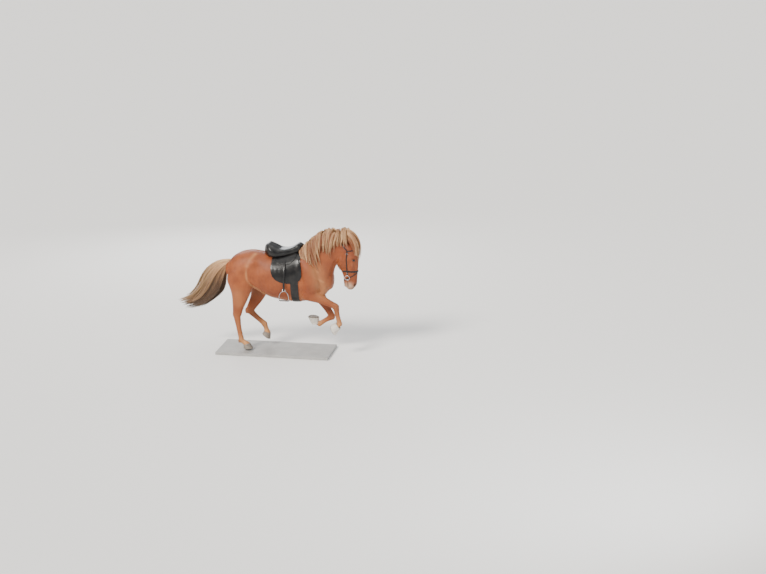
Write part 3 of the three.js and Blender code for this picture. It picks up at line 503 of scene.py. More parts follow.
def markings_and_painted_light(co):
    spot, both = in_millimetres(co, False), in_millimetres(co)
    x, y, z = both.T
    # Painted sheen along the flank whorl, in the pale channel.
    pale = np.maximum(0.55 * glow(both, WHORL_SHEEN_TOP, 23), 0.5 * glow(both, WHORL_SHEEN_LOW, 13))
    pale += sum(amount * glow(both, points, radius) for amount, radius, points in PALE_LINES)
    pale += 0.2 * soft(1040 - z, 160, 330) * soft(z, 600, 800) * soft(215 - y, 0, 60)
    pale += 0.22 * glow(spot * (1, -1, 1), [(-505, 190, 800), (-500, 160, 640)], 70)
    muzzle = 0.9 * glow(both, MUZZLE, 56, 2.6) * soft(1030 - z, 0, 130)
    lower_leg = np.zeros(len(co))
    for leg in LEGS:
        from_foot = from_segment(spot, leg["fetlock"], leg["coronet"])[1]
        from_shank = from_segment(spot, leg["joint"], leg["fetlock"])[1]
        from_coronet = np.linalg.norm(spot - leg["coronet"], axis=1)
        for amount, radius, away in ((0.85, 62, from_coronet), (0.42, 78, from_foot), (0.2, 60, from_shank)):
            pale += amount * np.exp(-((away / radius) ** 2))
        lower_leg = np.maximum(lower_leg, soft(-np.minimum(from_foot, from_shank), -110, -60))
    dark = sum(amount * glow(both, points, radius) for amount, radius, points in DARK_LINES)
    for side in (-1, 1):
        corner = np.array(eye_frame(side)[0]) * 1000 + (6, side * 14, -GROUND * 1000)
        dark += 0.5 * np.exp(-((np.linalg.norm(spot - corner, axis=1) / 19) ** 2))
    # Painted shade inside the elbows.
    dark += 0.4 * glow(both, [(380, 150, 800), (470, 150, 790)], 60) * (y < 150)
    # Painted shade under the belly and on the inner sides of the hind legs.
    dark += 0.45 * soft(-y, -95, -30) * (z < 900) * (z > 300) * (x < 100)
    return np.clip(np.column_stack((pale, dark, lower_leg, muzzle)), 0, 1)


def paint(mesh, name, colors):
    layer = mesh.color_attributes.new(name, "FLOAT_COLOR", "POINT")
    layer.data.foreach_set("color", np.asarray(colors, np.float32).ravel())


paint(skin.data, "coat_marks_and_painted_light", markings_and_painted_light(co))

# An unwrap of the skin by body part, each a tube opened along its length, for every hair to share
TUBES = [
    ((-700, 0, 1055), (700, 0, 1000), (0.0, 0.0, 1.0, 0.42)),
    ((500, 0, 1120), (850, 0, 1380), (0.0, 0.43, 0.42, 0.64)),
    ((885, 0, 1510), (930, 0, 850), (0.43, 0.43, 1.0, 0.7)),
]
for n, leg in enumerate(LEGS):
    thigh = (-480, math.copysign(140, leg["joint"][1]), 900)
    chain = [leg.get("elbow", thigh), leg["joint"], leg["fetlock"], leg["coronet"]]
    for k in range(3):
        TUBES.append((chain[k], chain[k + 1], (0.25 * n, 0.71 + 0.1 * k, 0.25 * n + 0.24, 0.8 + 0.1 * k)))
TUBE_REACH = [130, 60, 20]


def unwrap_spots(spots, chosen=None, centre_angle=None):
    """Places on the shared unwrap for points in metres, their tubes, and the angles round these."""
    at = in_millimetres(spots, False)
    if chosen is None:
        gaps = np.array([from_segment(at, a, b)[1] for a, b, _ in TUBES])
        gaps[:3] -= np.array(TUBE_REACH)[:, None]
        chosen = gaps.argmin(0)
    uv = np.zeros((len(at), 2))
    angles = np.zeros(len(at))
    for k, (a, b, (u0, v0, u1, v1)) in enumerate(TUBES):
        here = chosen == k
        if not here.any():
            continue
        a, b = np.array(a, float), np.array(b, float)
        axis = (b - a) / np.linalg.norm(b - a)
        lift = np.array((0, 0, 1.0)) if abs(axis[2]) < 0.7 else np.array((1.0, 0, 0))
        lift -= axis * (lift @ axis)
        lift /= np.linalg.norm(lift)
        aside = np.cross(axis, lift)
        offset = at[here] - a
        angle = np.arctan2(offset @ aside, offset @ lift)
        if centre_angle is not None:
            middle = centre_angle[here]
            angle = middle + (angle - middle + np.pi) % (2 * np.pi) - np.pi
        share = np.clip((offset @ axis) / np.linalg.norm(b - a) * 0.8 + 0.1, 0, 1)
        uv[here, 0] = u0 + (u1 - u0) * share
        uv[here, 1] = v0 + (v1 - v0) * np.clip(angle / (2 * np.pi) * 0.94 + 0.5, 0, 1)
        angles[here] = angle
    return uv, chosen, angles


def unwrap(mesh):
    layer = mesh.uv_layers.new(name="OFBake")
    corners = np.empty(len(mesh.loops), int)
    mesh.loops.foreach_get("vertex_index", corners)
    totals = np.empty(len(mesh.polygons), int)
    mesh.polygons.foreach_get("loop_total", totals)
    centres = read(mesh.polygons, "center")
    _, tube, angle = unwrap_spots(centres)
    spots = read(mesh.vertices, "co")[corners]
    uv, _, _ = unwrap_spots(spots, np.repeat(tube, totals), np.repeat(angle, totals))
    layer.data.foreach_set("uv", uv.astype(np.float32).ravel())


unwrap(skin.data)


# Coat
# Short chestnut hair with a soft sheen over the skin: broad patches, fine streaks along the lie of
# the hair, and the markings laid over them, which carry painted sheen on the flank whorl and painted
# shade inside the elbows, under the belly and on the inner sides of the hind legs.
def node(tree, kind, inputs=(), **settings):
    made = tree.nodes.new(kind)
    for key, value in settings.items():
        setattr(made, key, value)
    for socket, value in dict(inputs).items():
        if isinstance(value, bpy.types.NodeSocket):
            tree.links.new(value, made.inputs[socket])
        else:
            made.inputs[socket].default_value = value
    return made


def ranged(tree, value, low=0.0, high=1.0, from_low=0.0, from_high=1.0):
    limits = {"Value": value, "From Min": from_low, "From Max": from_high, "To Min": low, "To Max": high}
    return node(tree, "ShaderNodeMapRange", limits).outputs["Result"]


# Streaks: noise drawn out along one way, for hair, grain and brushed marks
streaks = bpy.data.node_groups.new("streaks", "ShaderNodeTree")
for label, kind, value in (
    ("Vector", "NodeSocketVector", (0, 0, 0)), ("Stretch", "NodeSocketVector", (1, 1, 1)),
    ("Scale", "NodeSocketFloat", 100.0), ("Low", "NodeSocketFloat", 0.3), ("High", "NodeSocketFloat", 0.7),
):
    streaks.interface.new_socket(label, in_out="INPUT", socket_type=kind).default_value = value
streaks.interface.new_socket("Value", in_out="OUTPUT", socket_type="NodeSocketFloat")
given = streaks.nodes.new("NodeGroupInput").outputs
result = streaks.nodes.new("NodeGroupOutput").inputs
drawn = node(streaks, "ShaderNodeVectorMath", {0: given["Vector"], 1: given["Stretch"]}, operation="MULTIPLY")
grainy = {"Vector": drawn.outputs[0], "Scale": given["Scale"], "Detail": 3.0, "Roughness": 0.6}
noise = node(streaks, "ShaderNodeTexNoise", grainy).outputs[0]
streaks.links.new(ranged(streaks, noise, 0.0, 1.0, given["Low"], given["High"]), result["Value"])


def streak(tree, stretch, scale, low=0.3, high=0.7):
    where = node(tree, "ShaderNodeTexCoord").outputs["Object"]
    values = {"Vector": where, "Stretch": stretch, "Scale": scale, "Low": low, "High": high}
    return node(tree, "ShaderNodeGroup", values, node_tree=streaks).outputs["Value"]


def mix(tree, factor, a, b, blend="MIX"):
    made = tree.nodes.new("ShaderNodeMix")
    made.data_type = "RGBA"
    made.blend_type = blend
    for socket, value in ((made.inputs[0], factor), (made.inputs[6], a), (made.inputs[7], b)):
        if isinstance(value, bpy.types.NodeSocket):
            tree.links.new(value, socket)
        else:
            socket.default_value = value if isinstance(value, (int, float)) else (*value, 1)
    return made.outputs[2]


def times(tree, a, b, operation="MULTIPLY"):
    return node(tree, "ShaderNodeMath", {0: a, 1: b}, operation=operation).outputs[0]


def bump(tree, shader, height, distance, strength=1.0):
    made = node(tree, "ShaderNodeBump", {"Height": height, "Distance": distance, "Strength": strength})
    tree.links.new(made.outputs["Normal"], shader.inputs["Normal"])


def wire(tree, shader, **sources):
    """Links sources to a shader's sockets, named with underscores for spaces."""
    for socket, source in sources.items():
        tree.links.new(source, shader.inputs[socket.replace("_", " ")])


def finished(thing, material, slot, *nodes, smooth=True):
    """Gives a piece its material, and the nodes that it replaces; the slot is not used."""
    thing.data.materials.clear()
    thing.data.materials.append(material)
    thing.data.polygons.foreach_set("use_smooth", np.full(len(thing.data.polygons), smooth))
    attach(thing, "root")
    if nodes:
        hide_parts(*nodes)


CHESTNUT = (0.2, 0.041, 0.0095)
CHESTNUT_DARK = (0.085, 0.0165, 0.0055)
CHESTNUT_LIGHT = (0.32, 0.083, 0.0215)
GOLDEN = (0.62, 0.3, 0.115)
CREAM = (0.5, 0.34, 0.23)
DUSKY = (0.03, 0.016, 0.011)
coat_material, tree, shader = finish_of(
    "chestnut coat", CHESTNUT, 0.5, Sheen_Weight=0.05, Sheen_Roughness=0.4, Specular_IOR_Level=0.36
)
drawn_marks_and_light = node(tree, "ShaderNodeVertexColor", layer_name="coat_marks_and_painted_light").outputs
pale, dark, lower_leg = node(tree, "ShaderNodeSeparateColor", {"Color": drawn_marks_and_light["Color"]}).outputs
broad = streak(tree, (1, 1, 1), 3.2, 0.38, 0.66)
patches = streak(tree, (1, 1, 0.6), 13, 0.35, 0.7)
lies = {0: lower_leg, 2: streak(tree, (0.16, 1, 0.75), 620), 3: streak(tree, (1, 1, 0.14), 620)}
hair = node(tree, "ShaderNodeMix", lies, data_type="FLOAT").outputs[0]
color = mix(tree, broad, CHESTNUT, CHESTNUT_LIGHT)
color = mix(tree, times(tree, patches, 0.38), color, CHESTNUT_DARK)
color = mix(tree, times(tree, hair, 0.22), color, CHESTNUT_LIGHT)
color = mix(tree, times(tree, pale, ranged(tree, patches, 0.7, 1.1)), color, GOLDEN)
color = mix(tree, drawn_marks_and_light["Alpha"], color, CREAM)
# Dark skin at nostrils, lips and eyes; painted shade at the elbows, belly and inner hind legs.
color = mix(tree, dark, color, DUSKY)
wire(tree, shader, Base_Color=color, Roughness=ranged(tree, hair, 0.42, 0.62))
bump(tree, shader, hair, 0.0009, 0.7)
flesh_nodes = [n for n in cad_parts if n.startswith("leg_") or n in ("torso", "neck", "head")]
finished(skin, coat_material, "coat", *flesh_nodes)


# Mane
# Long flaxen hair in clumps that rise off the crest, are swept back and fall mostly on the right;
# each strand is a tapered closed blade, darker at the root and halfway down.
hair_material, tree, shader = finish_of(
    "flaxen hair", (0.6, 0.42, 0.25), 0.5, Specular_IOR_Level=0.4, Sheen_Weight=0.1
)
hair_tone = node(tree, "ShaderNodeVertexColor", layer_name="hair_tone").outputs["Color"]
blond, red, shade = node(tree, "ShaderNodeSeparateColor", {"Color": hair_tone}).outputs
color = mix(tree, blond, (0.26, 0.092, 0.03), (0.8, 0.5, 0.25))
color = mix(tree, red, color, (0.19, 0.045, 0.012))
color = mix(tree, shade, color, (0.032, 0.014, 0.008))
color = mix(tree, times(tree, streak(tree, (1, 1, 1), 420, 0.35, 0.65), 0.16), color, (0.6, 0.37, 0.19))
wire(tree, shader, Base_Color=color)
bump(tree, shader, streak(tree, (1, 1, 0.3), 900), 0.0006, 0.5)
HAIR_PATCH = 0.003  # a strand's patch on the skin's unwrap


def hair_piece(name, strands):
    """Strands as tapered closed blades. Each is (points, facing, widths, depths, tone, root)."""
    points = np.array([s[0] for s in strands])
    facing = np.array([s[1] for s in strands])
    for _ in range(2 if points.shape[1] > 8 else 0):
        points[:, 1:-1] = (points[:, :-2] + 2 * points[:, 1:-1] + points[:, 2:]) / 4
    widths, depths = (np.array([s[i] for s in strands])[..., None] / 2 for i in (2, 3))
    count, stations = points.shape[:2]
    ahead = np.gradient(points, axis=1)
    ahead /= np.linalg.norm(ahead, axis=2, keepdims=True) + 1e-12
    side = np.cross(ahead, facing)
    side /= np.linalg.norm(side, axis=2, keepdims=True) + 1e-12
    out = np.cross(ahead, side)
    ring = [points + side * widths, points + out * depths, points - side * widths, points - out * depths]
    vertices = np.stack(ring, axis=2).reshape(-1, 3)
    base = np.arange(count)[:, None, None] * stations * 4 + np.arange(stations - 1)[None, :, None] * 4
    i = np.arange(4)[None, None, :]
    j = (i + 1) % 4
    walls = np.stack([base + i, base + j, base + 4 + j, base + 4 + i], axis=3).reshape(-1, 4)
    start = np.arange(count)[:, None] * stations * 4
    roots = start + np.array([3, 2, 1, 0])
    tips = start + (stations - 1) * 4 + np.array([0, 1, 2, 3])
    faces = np.concatenate((walls, roots, tips))
    data = bpy.data.meshes.new(name)
    data.vertices.add(len(vertices))
    data.vertices.foreach_set("co", vertices.ravel())
    data.loops.add(faces.size)
    data.loops.foreach_set("vertex_index", faces.ravel().astype(np.int32))
    data.polygons.add(len(faces))
    data.polygons.foreach_set("loop_start", np.arange(0, faces.size, 4, dtype=np.int32))
    data.update(calc_edges=True)
    level = np.repeat(np.tile(np.linspace(0, 1, stations), count), 4)
    tone = np.repeat([s[4] for s in strands], stations * 4, axis=0)
    uv_root, _, _ = unwrap_spots(np.array([s[5] for s in strands]))
    corner = faces % (stations * 4)
    patch = (np.stack(((corner // 4) / (stations - 1), (corner % 4) / 3), axis=2) - 0.5) * HAIR_PATCH
    layer = data.uv_layers.new(name="OFBake")
    layer.data.foreach_set("uv", (uv_root[faces // (stations * 4)] + patch).astype(np.float32).ravel())
    return in_scene(name, data), level, tone


rng = np.random.default_rng(17)
dense = 1.0
steps = np.linspace(0, 1, 11)


def taper(width, start=0.55):
    return width * np.interp(steps, [0, 0.12, 0.5, 0.85, 1], [start, 1, 1, 0.6, 0.08])


def long_strand(points, facing, width, tone, start=0.55, depth=None):
    points = np.array(points)
    return points, np.array(facing), taper(width, start), taper(depth or width * 0.4), tone, points[0]


def fallen_hair(name, strands, on_brow=False):
    """A piece of mane or forelock, shaded along its strands."""
    piece, level, tone = hair_piece(name, strands)
    pale = 0.4 * soft(level, 0.7, 0.95) - 0.3 * (1 - soft(level, 0.0, 0.25)) - 0.35 * soft(level, 0.35, 0.6)
    tone[:, 0] = np.clip(tone[:, 0] + pale, 0, 1)
    # On the forelock the hair turns browner down the front of the face: partly its own colour, partly painted
    # shade on the side turned from the light.
    brown = 0.6 * soft(level, 0.22, 0.5) if on_brow else 0.42 * np.exp(-(((level - 0.5) / 0.2) ** 2))
    tone[:, 1] = np.clip(tone[:, 1] + brown * (1.25 - tone[:, 0]), 0, 1)
    paint(piece.data, "hair_tone", tone)
    finished(piece, hair_material, "hair")


def mane_strand(station, aside, side, fall, turn, length, sweep, rise, width, wave, phase, tone):
    points, facing = [], []
    for t in steps * length:
        gather = 1 - 0.75 * t
        row = between(NECK, max(station + aside * gather - sweep * t**1.3, 0.02))
        fallen = 3 + (fall + turn * gather - 3) * t**1.3
        angle = math.radians(90 - side * fallen + 2.6 * math.sin(t * 8 + phase))
        out = np.interp(t, [0, 0.12, 0.35, 0.6, 0.85, 1], [-12 / rise, 0.62, 1.0, 0.72, 0.36, 0.26]) * rise
        out += wave * math.sin(t * 11 + phase) * t
        at = ring_point(row, angle, 2.15, out)
        points.append(at)
        facing.append((ring_point(row, angle, 2.15, out + 15) - at).normalized())
    return long_strand(points, facing, width, tone)


def mane_clumps(count, side, each, rise_low, rise_high, fall_low, fall_high):
    strands = []
    for c in range(count):
        station = 0.42 + (5.15 - 0.42) * (c + rng.random()) / count
        layer = rng.random()
        rise = (44 + 16 * station) * (rise_low + (rise_high - rise_low) * layer)
        fall = fall_high + (fall_low - fall_high) * layer + rng.normal(0, 5)
        sweep, wave, phase = rng.uniform(0.6, 1.3), rng.uniform(3, 9), rng.uniform(0, 6)
        shade = np.clip(0.3 + 0.55 * layer + rng.normal(0, 0.25), 0, 1)
        red = np.clip(rng.normal(0.12, 0.12) + 0.5 * (layer < 0.3), 0, 0.8)
        for _ in range(each):
            strands.append(mane_strand(
                station, rng.normal(0, 0.085), side, fall, rng.normal(0, 5), rng.uniform(0.8, 1.08), sweep,
                max(rise + rng.normal(0, 4), 16), rng.uniform(0.004, 0.008), wave, phase + rng.normal(0, 0.2),
                (np.clip(shade + rng.normal(0, 0.12), 0, 1), red, 0, 1),
            ))
    return strands


fallen_hair("mane_right", mane_clumps(60, -1, int(38 * dense), 0.5, 1.12, 54, 92))
fallen_hair("mane_left", mane_clumps(36, 1, int(36 * dense), 0.4, 1.0, 42, 70))


# Forelock and poll hair
# One dome with the mane: the forelock springs from the poll, lies on the brow and ends at eye
# level, and the poll's own hair rises between the ears and falls over both.
FORELOCK_TOP = [
    (842, 1520), (836, 1634), (902, 1662), (985, 1622), (1052, 1545), (1082, 1440), (1078, 1340),
    (1062, 1262),
]
FORELOCK_BROW = [
    (872, 1486), (884, 1506), (920, 1492), (966, 1448), (1002, 1400), (1024, 1340), (1036, 1280),
    (1040, 1225),
]
FORELOCK_HALF = [8, 34, 56, 74, 84, 84, 76, 62]


def forelock_strand(middle, aside, length, level, width, phase, tone):
    points, facing = [], []
    for t in steps:
        share = middle + aside * (1 - 0.7 * t)
        position = t * length * (len(FORELOCK_TOP) - 1)
        brow, top = between(FORELOCK_BROW, position), between(FORELOCK_TOP, position)
        x, z = brow + (top - brow) * level * (1 - 0.35 * share**2)
        x -= 58 * share**2 * t
        y = share * between(FORELOCK_HALF, position) + 5 * math.sin(t * 8 + phase) * t
        normal = Vector((max(top[0] - brow[0], 10) / 100, share * 0.6, max(top[1] - brow[1], 5) / 100 + 0.15))
        points.append(metres(x, y, z))
        facing.append(normal.normalized())
    return long_strand(points, facing, width, tone)


def poll_strand(x, y, height, reach, side, lean, phase, tone, width):
    crown = 1560 + 108 * height
    line = [
        (x * 0.6 + 342, y, 1486), (x, side * (y + 6), crown - 34), (x + 2, side * (26 + y), crown),
        (x + 8, side * (66 + 14 * height + y), crown - 46), (x + 14, side * (92 + 10 * height), crown - 118),
        (x + 18, side * (100 + 8 * height), crown - 176),
    ]
    points, facing = [], []
    for t in steps * reach:
        shares = (t * 0.98, max(t - 0.06, 0), min(t + 0.06, 0.98))
        at = sum(between(line, share * 5) for share in shares) / 3
        points.append(metres(at[0] + lean * t + 4 * math.sin(8 * t + phase), at[1], at[2]))
        facing.append(Vector((0.1, side * (0.2 + t), 1.1 - t)).normalized())
    return long_strand(points, facing, width, tone, depth=0.0025)


def shaded(*tones):
    """A strand's tone, each part scattered and kept from 0 to 1."""
    return (*[np.clip(tone + rng.normal(0, scatter), 0, 1) for tone, scatter in tones], 0, 1)


fore = []
for _ in range(52):
    share, length = rng.uniform(-1, 1), rng.uniform(0.84, 1.04)
    level, phase = rng.uniform(0.04, 1) ** 0.8, rng.uniform(0, 6)
    for _ in range(int(36 * dense)):
        tone = shaded((0.1 + 0.85 * level**1.5, 0.14), (0.75 - 0.75 * level, 0.12))
        fore.append(forelock_strand(
            share * 0.96, rng.normal(0, 0.09), length * rng.uniform(0.78, 1.0),
            level + rng.normal(0, 0.035), rng.uniform(0.004, 0.008), phase, tone,
        ))
poll = []
for c in range(40):
    side, x0, h, phase = (-1, 1)[c % 2], rng.uniform(768, 912), rng.uniform(0.3, 1), rng.uniform(0, 6)
    blond = np.clip(0.15 + 0.75 * h + rng.normal(0, 0.15), 0, 1)
    for _ in range(int(30 * dense)):
        x, y = x0 + rng.normal(0, 8), rng.uniform(0, 14)
        height, reach = h + rng.normal(0, 0.05), rng.uniform(0.62, 1)
        lean = (x0 - x) * 0.75 - 16 * (x0 < 850)
        tone = shaded((blond, 0.1), (0.5 - 0.5 * h, 0.1))
        poll.append(poll_strand(x, y, height, reach, side, lean, phase, tone, rng.uniform(0.004, 0.008)))
fallen_hair("forelock", fore, on_brow=True)
fallen_hair("poll_hair", poll)


# Tail
# Long hair that streams out behind between an upper and a lower edge, pale above and browner below,
# the underside partly painted shade; two pieces of like strands in clumps, darker from a third of the
# way on, partly the hair's own colour and partly painted shade.
TAIL_TOP = [
    (-610, 1188), (-770, 1184), (-915, 1122), (-1040, 1000), (-1092, 840), (-1180, 700), (-1300, 652),
    (-1408, 620),
]
TAIL_LOW = [
    (-610, 1140), (-712, 1060), (-716, 920), (-738, 776), (-812, 684), (-930, 600), (-1075, 516),
    (-1290, 470),
]
TAIL_HALF = [12, 50, 76, 92, 92, 80, 58, 26]


def tail_strand(turn, aside, inner, length, wave, phase, width, tone):
    points, facing = [], []
    for t in steps:
        angle = turn + aside * (1 - 0.6 * t)
        position = min(t * length * 7, 7)
        top, low = between(TAIL_TOP, position), between(TAIL_LOW, position)
        share = 0.5 - 0.5 * math.cos(angle) * inner + 0.02 * math.sin(t * 9 + phase)
        x, z = top + (low - top) * share
        z += wave * t * math.sin(t * 6 + phase)
        y = math.sin(angle) * inner * between(TAIL_HALF, position) + 6 * t * math.sin(t * 7 + phase * 2)
        across = (top - low) / np.linalg.norm(top - low) * math.cos(angle)
        points.append(metres(x, y, z))
        facing.append(Vector((across[0], math.sin(angle), across[1])).normalized())
    return long_strand(points, facing, width, tone, start=0.8)


tails = []
for _ in range(84):
    turn, inner = rng.uniform(0, 2 * math.pi), math.sqrt(rng.uniform(0.12, 1.0))
    length, wave, phase = rng.uniform(0.78, 1.0), rng.uniform(4, 16), rng.uniform(0, 6)
    # Strands on the upper side are fairer and those underneath darker: the hair's own colour, with painted
    # shade on the underside.
    fair_above_shaded_below = np.clip(0.5 + 0.35 * math.cos(turn) + rng.normal(0, 0.2), 0, 1)
    for _ in range(int(42 * dense)):
        blond = np.clip(fair_above_shaded_below + rng.normal(0, 0.1), 0, 1)
        shade = np.clip(0.28 - 0.5 * math.cos(turn) + rng.normal(0, 0.16), 0, 0.85)
        tails.append(tail_strand(
            turn, rng.normal(0, 0.12), np.clip(inner + rng.normal(0, 0.04), 0, 1.03),
            length * rng.uniform(0.84, 1.0), wave, phase + rng.normal(0, 0.12), rng.uniform(0.005, 0.009),
            (blond, 0.05, shade, 1),
        ))
half = len(tails) // 2
for name, strands, nodes in (("inner", tails[:half], ["tail"]), ("outer", tails[half:], [])):
    piece, level, tone = hair_piece(f"tail_hair_{name}", strands)
    # Darker from a third of the way along, where the tail hangs lower: partly its own colour, partly painted
    # shade.
    tone[:, 2] = np.clip(tone[:, 2] * 0.5 + soft(level, 0.22, 0.6) * (0.42 + tone[:, 2]), 0, 0.93)
    tone[:, 0] = np.clip(tone[:, 0] + 0.3 * (1 - soft(level, 0.1, 0.35)), 0, 1)
    paint(piece.data, "hair_tone", tone)
    finished(piece, hair_material, "hair", *nodes)


# Short coat tufts
# Short hairs that break the outline of the smooth skin, coloured as the coat they grow from: small
# closed blades laid along the lie of the hair, longest under the belly, jaw and at the fetlocks.
skin.data.calc_loop_triangles()
triangles = skin.data.loop_triangles
corner_of = np.array([t.vertices for t in triangles])
surface_tree = BVHTree.FromPolygons([tuple(c) for c in co], corner_of.tolist(), all_triangles=True)
areas = np.array([t.area for t in triangles])
middles = co[corner_of].mean(1)
tilts = np.array([t.normal for t in triangles])


def coat_hair(name, strands, marks):
    piece, _, _ = hair_piece(name, strands)
    paint(piece.data, "coat_marks_and_painted_light", marks)
    finished(piece, coat_material, "coat")


def tufts(name, count, seed, wanted, length):
    pick = np.random.default_rng(seed)
    weight = areas * wanted(middles)
    chosen = pick.choice(len(areas), int(count * (0.4 if dense < 1 else 1)), p=weight / weight.sum())
    mixed = pick.dirichlet((1, 1, 1), len(chosen))
    roots = (co[corner_of[chosen]] * mixed[:, :, None]).sum(1)
    out = tilts[chosen]
    low = soft(roots[:, 2] - GROUND, 0.55, 0.8)[:, None]
    head = (soft(roots[:, 0], 0.82, 0.9) * soft(roots[:, 2], 0.85, 0.95))[:, None]
    flow = np.array((-0.85, 0, -0.5)) * low + np.array((-0.1, 0, -1.0)) * (1 - low)
    flow = flow * (1 - head) + np.array((-0.57, 0, 0.6)) * head
    flow = flow - out * (flow * out).sum(1, keepdims=True) + pick.normal(0, 0.16, out.shape)
    flow /= np.linalg.norm(flow, axis=1, keepdims=True) + 1e-9
    span = length(roots) * pick.uniform(0.6, 1.3, len(roots))
    along = flow[:, None] * np.array((-0.2, 0.35, 0.75, 1.0))[:, None]
    lift = out[:, None] * np.array((-0.1, 0.05, 0.1, 0.13))[:, None]
    points = roots[:, None] + span[:, None, None] * (along + lift)
    widths = 0.09 * span[:, None] * np.array((0.7, 1, 0.6, 0.06)) + 0.0002
    facing, tones = np.repeat(out[:, None], 4, 1), np.zeros((len(roots), 4))
    strands = list(zip(points, facing, widths, widths * 0.4, tones, roots))
    coat_hair(name, strands, np.repeat(markings_and_painted_light(roots), 16, axis=0))


def on_head(p):
    return (p[:, 0] > 0.82) & (p[:, 2] > 0.84 + GROUND)


def on_leg(p):
    return (p[:, 2] < 0.66 + GROUND) * 1.0


def on_body(p):
    return (1 - on_leg(p)) * ~on_head(p) * (0.6 + 1.6 * (np.abs(p[:, 1]) < 0.12))


def off_the_eyes(p):
    return on_head(p) * (np.linalg.norm(np.abs(p) - np.array((0.99, 0.09, 1.256 + GROUND)), axis=1) > 0.03)


def under_belly(p):
    return (p[:, 2] < 0.84 + GROUND) & (np.abs(p[:, 1]) < 0.1)


tufts("coat_tufts_body", 6000, 3, on_body, lambda p: 0.008 + 0.01 * under_belly(p))
tufts("coat_tufts_legs", 4200, 4, on_leg, lambda p: 0.006)
tufts("coat_tufts_head", 4200, 5, off_the_eyes, lambda p: 0.0045 + 0.004 * (p[:, 0] < 0.9))


# Feather, jaw fringe and flank wisps
# Longer coat hair at the back of each fetlock and over each coronet, under the jaw, and where the
# flank meets the belly; groups of blades that root in the skin nearest to each group's middle.
HAIR_BEND = (0, 0.25, 0.5, 0.75, 1)


def short_strand(points, facing, width, depth, tone, root_share=1, root=None):
    points = np.array(points)
    shape = np.array((root_share, 1, 0.8, 0.5, 0.1))
    root = points[0] if root is None else np.array(root)
    return points, np.array([facing] * 5), width * shape, depth * shape, tone, root


def fringe(name, groups, count, seed, pale=0.12):
    """Groups of hair: middle in millimetres, the ways outward and down, length and spread."""
    pick = np.random.default_rng(seed)
    strands = []
    for centre, outward, fall, length, spread in groups:
        outward, fall = Vector(outward).normalized(), Vector(fall).normalized()
        aside = outward.cross(fall)
        for _ in range(int(count * dense)):
            start = metres(*centre) + aside * pick.normal(0, spread) + fall * pick.normal(0, spread)
            hit, normal, _, _ = surface_tree.find_nearest(start)
            turn = (normal * 0.35 + fall + Vector(pick.normal(0, 0.14, 3))).normalized()
            span = length * pick.uniform(0.5, 1.1)
            line = []
            for t in HAIR_BEND:
                bend = turn * t + normal * 0.2 * math.sin(3 * t) + fall * 0.2 * t * t
                line.append(hit - normal * 0.003 + bend * span)
            strands.append(short_strand(line, normal, 0.0022, 0.001, (0, 0, 0, 1), 0.8, hit))
    marks = markings_and_painted_light(np.array([s[5] for s in strands])) + np.array((pale, 0, 0, 0))
    coat_hair(name, strands, np.repeat(marks, 20, axis=0))


feathers = []
for leg in LEGS:
    fetlock, coronet, joint = (Vector(leg[name]) for name in ("fetlock", "coronet", "joint"))
    run, shank = (coronet - fetlock).normalized(), (fetlock - joint).normalized()
    behind, rear = Vector((run.z, 0, -run.x)), Vector((shank.z, 0, -shank.x)).normalized()
    for way in (1, -1):
        feathers.append((coronet + behind * 34 * way, behind * way, run, 0.02, 0.016))
    feathers.append((fetlock + rear * 34, rear, shank, 0.024, 0.017))
fringe("fetlock_feather", feathers, 130, 6)
jaw = [((812, side * 30, 1180), (-1, 0, -0.3), (-0.1, 0, -1), 0.02, 0.03) for side in (1, -1)]
fringe("jaw_fringe", jaw + [((860, 0, 960), (-0.6, 0, -0.8), (-0.2, 0, -1), 0.016, 0.022)], 300, 7)
FLANK = [(-338, 205, 912), (-300, 200, 880), (-262, 192, 850), (-216, 184, 822), (-176, 180, 800)]
wisps = []
for side in (1, -1):
    for x, y, z in FLANK:
        wisps.append(((x, side * y, z), (0.1, side * 0.5, -0.7), (0.2, 0, -1), 0.026, 0.014))
fringe("flank_wisps", wisps, 44, 8, 0.6)


# Ears
# Cupped blades of skin under the same coat, open forward and outward, with fringes of pale hair
# inside; the coat's own material, so that they join the head without a seam.
SIDES = ((-1, "right"), (1, "left"))
EAR = [  # x, y, z and radius of the cup, from the base to the tip
    (890, 46, 1462, 25), (886, 50, 1484, 27), (879, 55, 1510, 30), (870, 60, 1534, 27), (858, 64, 1560, 20),
    (844, 67, 1585, 12), (830, 68, 1606, 3),
]


def woven(bm, rows, rings=True):
    """Faces between rows of vertices, which are closed rings or open rows."""
    for a, b in zip(rows[:-1], rows[1:]):
        for k in range(len(a) if rings else len(a) - 1):
            bm.faces.new((a[k], a[(k + 1) % len(a)], b[(k + 1) % len(a)], b[k]))


def flaxen_hair(name, strands):
    piece, _, tone = hair_piece(name, strands)
    paint(piece.data, "hair_tone", tone)
    finished(piece, hair_material, "hair")


